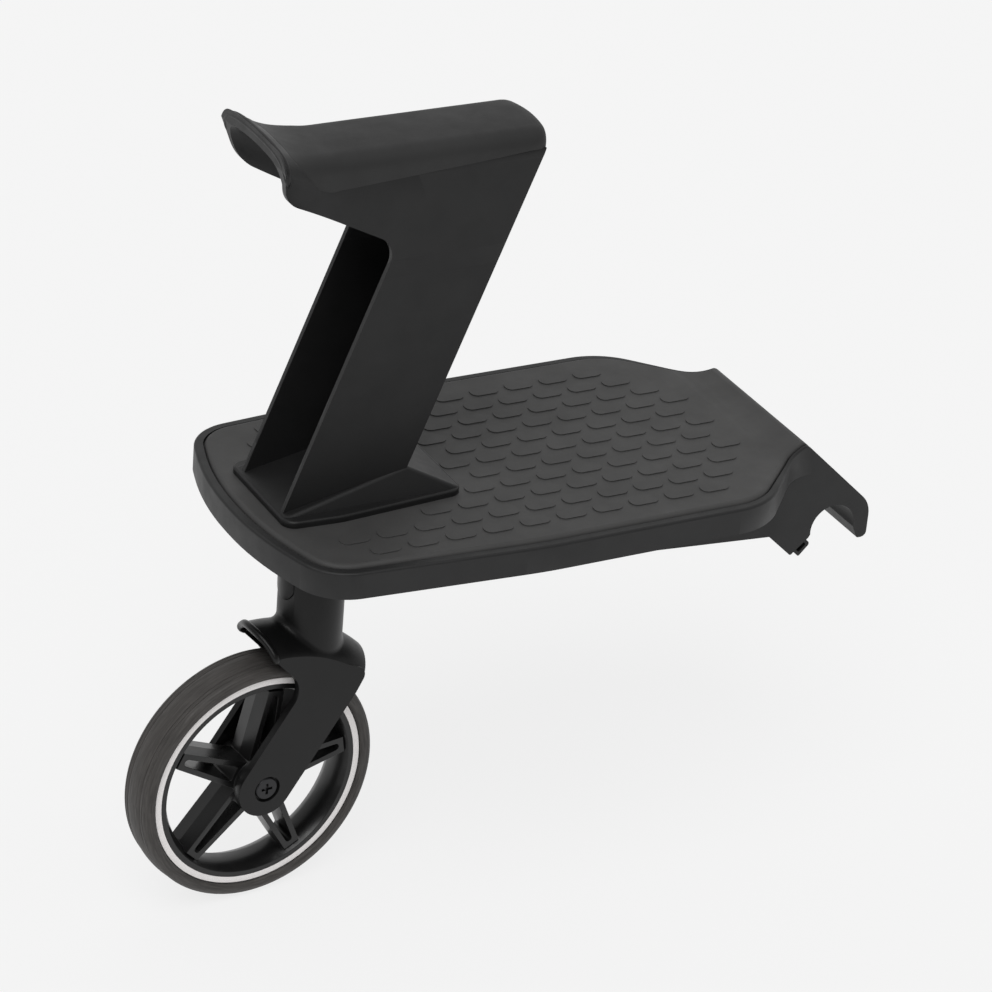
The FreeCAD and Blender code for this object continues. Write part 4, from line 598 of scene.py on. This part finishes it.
make_roll("lip_bead", "board", "seat_plastic", LIP_RADIUS, LIP_PATH, Matrix.Identity(4))
make_roll("hood_edge", "caster", "caster_plastic", HOOD_RADIUS, HOOD_PATH, CASTER_PLACE)


# Stage, in metres: a wide floor that glows, a studio that is brighter on one side, and one broad key light

WHITE = (1.0, 1.0, 1.0, 1.0)
FLOOR_HALF, FLOOR_GAP = 80.0, 0.0002
FLOOR_GREY, FLOOR_ROUGH, FLOOR_GLOW = 0.12, 0.9, 0.80
STUDIO_SIDE = Vector((0.58, 0.68, 0.45))
STUDIO_START, STUDIO_END = -0.5, 0.95
STUDIO_DIM, STUDIO_BRIGHT = 0.12, 0.75
KEY_DIRECTION = Vector((0.4, 0.5, -1.0))
KEY_SPREAD, KEY_POWER = math.radians(45.0), 1.7


def make_floor():
    """A floor just below the tyre; its glow keeps it pale, and its grey takes soft shadows."""
    mesh = bpy.data.meshes.new("floor")
    z = cad_box[0][2] - FLOOR_GAP
    corners = [(x * FLOOR_HALF, y * FLOOR_HALF, z) for x, y in ((-1, -1), (1, -1), (1, 1), (-1, 1))]
    mesh.from_pydata(corners, [], [(0, 1, 2, 3)])
    floor = add_object("floor", mesh)
    material, _, shader = new_material("floor")
    shader.inputs["Base Color"].default_value = (*grey(FLOOR_GREY), 1.0)
    shader.inputs["Roughness"].default_value = FLOOR_ROUGH
    shader.inputs["Specular IOR Level"].default_value = 0.0
    shader.inputs["Emission Color"].default_value = WHITE
    shader.inputs["Emission Strength"].default_value = FLOOR_GLOW
    mesh.materials.append(material)


def make_studio():
    """Soft light all round, brighter from one side."""
    world = bpy.data.worlds.new("studio")
    world.use_nodes = True
    tree = world.node_tree
    background = tree.nodes["Background"]
    direction = tree.nodes.new("ShaderNodeTexCoord").outputs["Generated"]
    span = add_node(tree, "ShaderNodeMapRange", **{
        "From Min": STUDIO_START, "From Max": STUDIO_END, "To Min": STUDIO_DIM, "To Max": STUDIO_BRIGHT,
    })
    tree.links.new(vector_math(tree, "DOT_PRODUCT", direction, STUDIO_SIDE), span.inputs["Value"])
    tree.links.new(span.outputs["Result"], background.inputs["Strength"])
    background.inputs["Color"].default_value = WHITE
    scene.world = world


def make_key_light():
    """A far light, as broad as a very large softbox."""
    light = bpy.data.lights.new("key", "SUN")
    light.angle = KEY_SPREAD
    light.energy = KEY_POWER
    add_object("key", light).rotation_euler = KEY_DIRECTION.to_track_quat("-Z", "Y").to_euler()


make_floor()
make_studio()
make_key_light()


# Camera at the photograph's angle, solved from it: its directions, and its place in metres

CAMERA_RIGHT = Vector((0.88226, -0.46458, 0.07599))
CAMERA_UP = Vector((0.16200, 0.45118, 0.87760))
CAMERA_BACK = Vector((-0.44200, -0.76197, 0.47333))
CAMERA_PLACE = Vector((-1.1885, -1.7057, 1.0902))
SENSOR_MM, LENS_MM = 36.0, 141.70
CAMERA_REACH = 300.0


def make_camera():
    """The camera, with its three directions and its place as the columns of its matrix."""
    data = bpy.data.cameras.new("camera")
    data.sensor_width = SENSOR_MM
    data.lens = LENS_MM
    data.clip_end = CAMERA_REACH
    camera = add_object("camera", data)
    columns = Matrix((CAMERA_RIGHT, CAMERA_UP, CAMERA_BACK)).transposed()
    camera.matrix_world = Matrix.Translation(CAMERA_PLACE) @ columns.to_4x4()
    scene.camera = camera


make_camera()
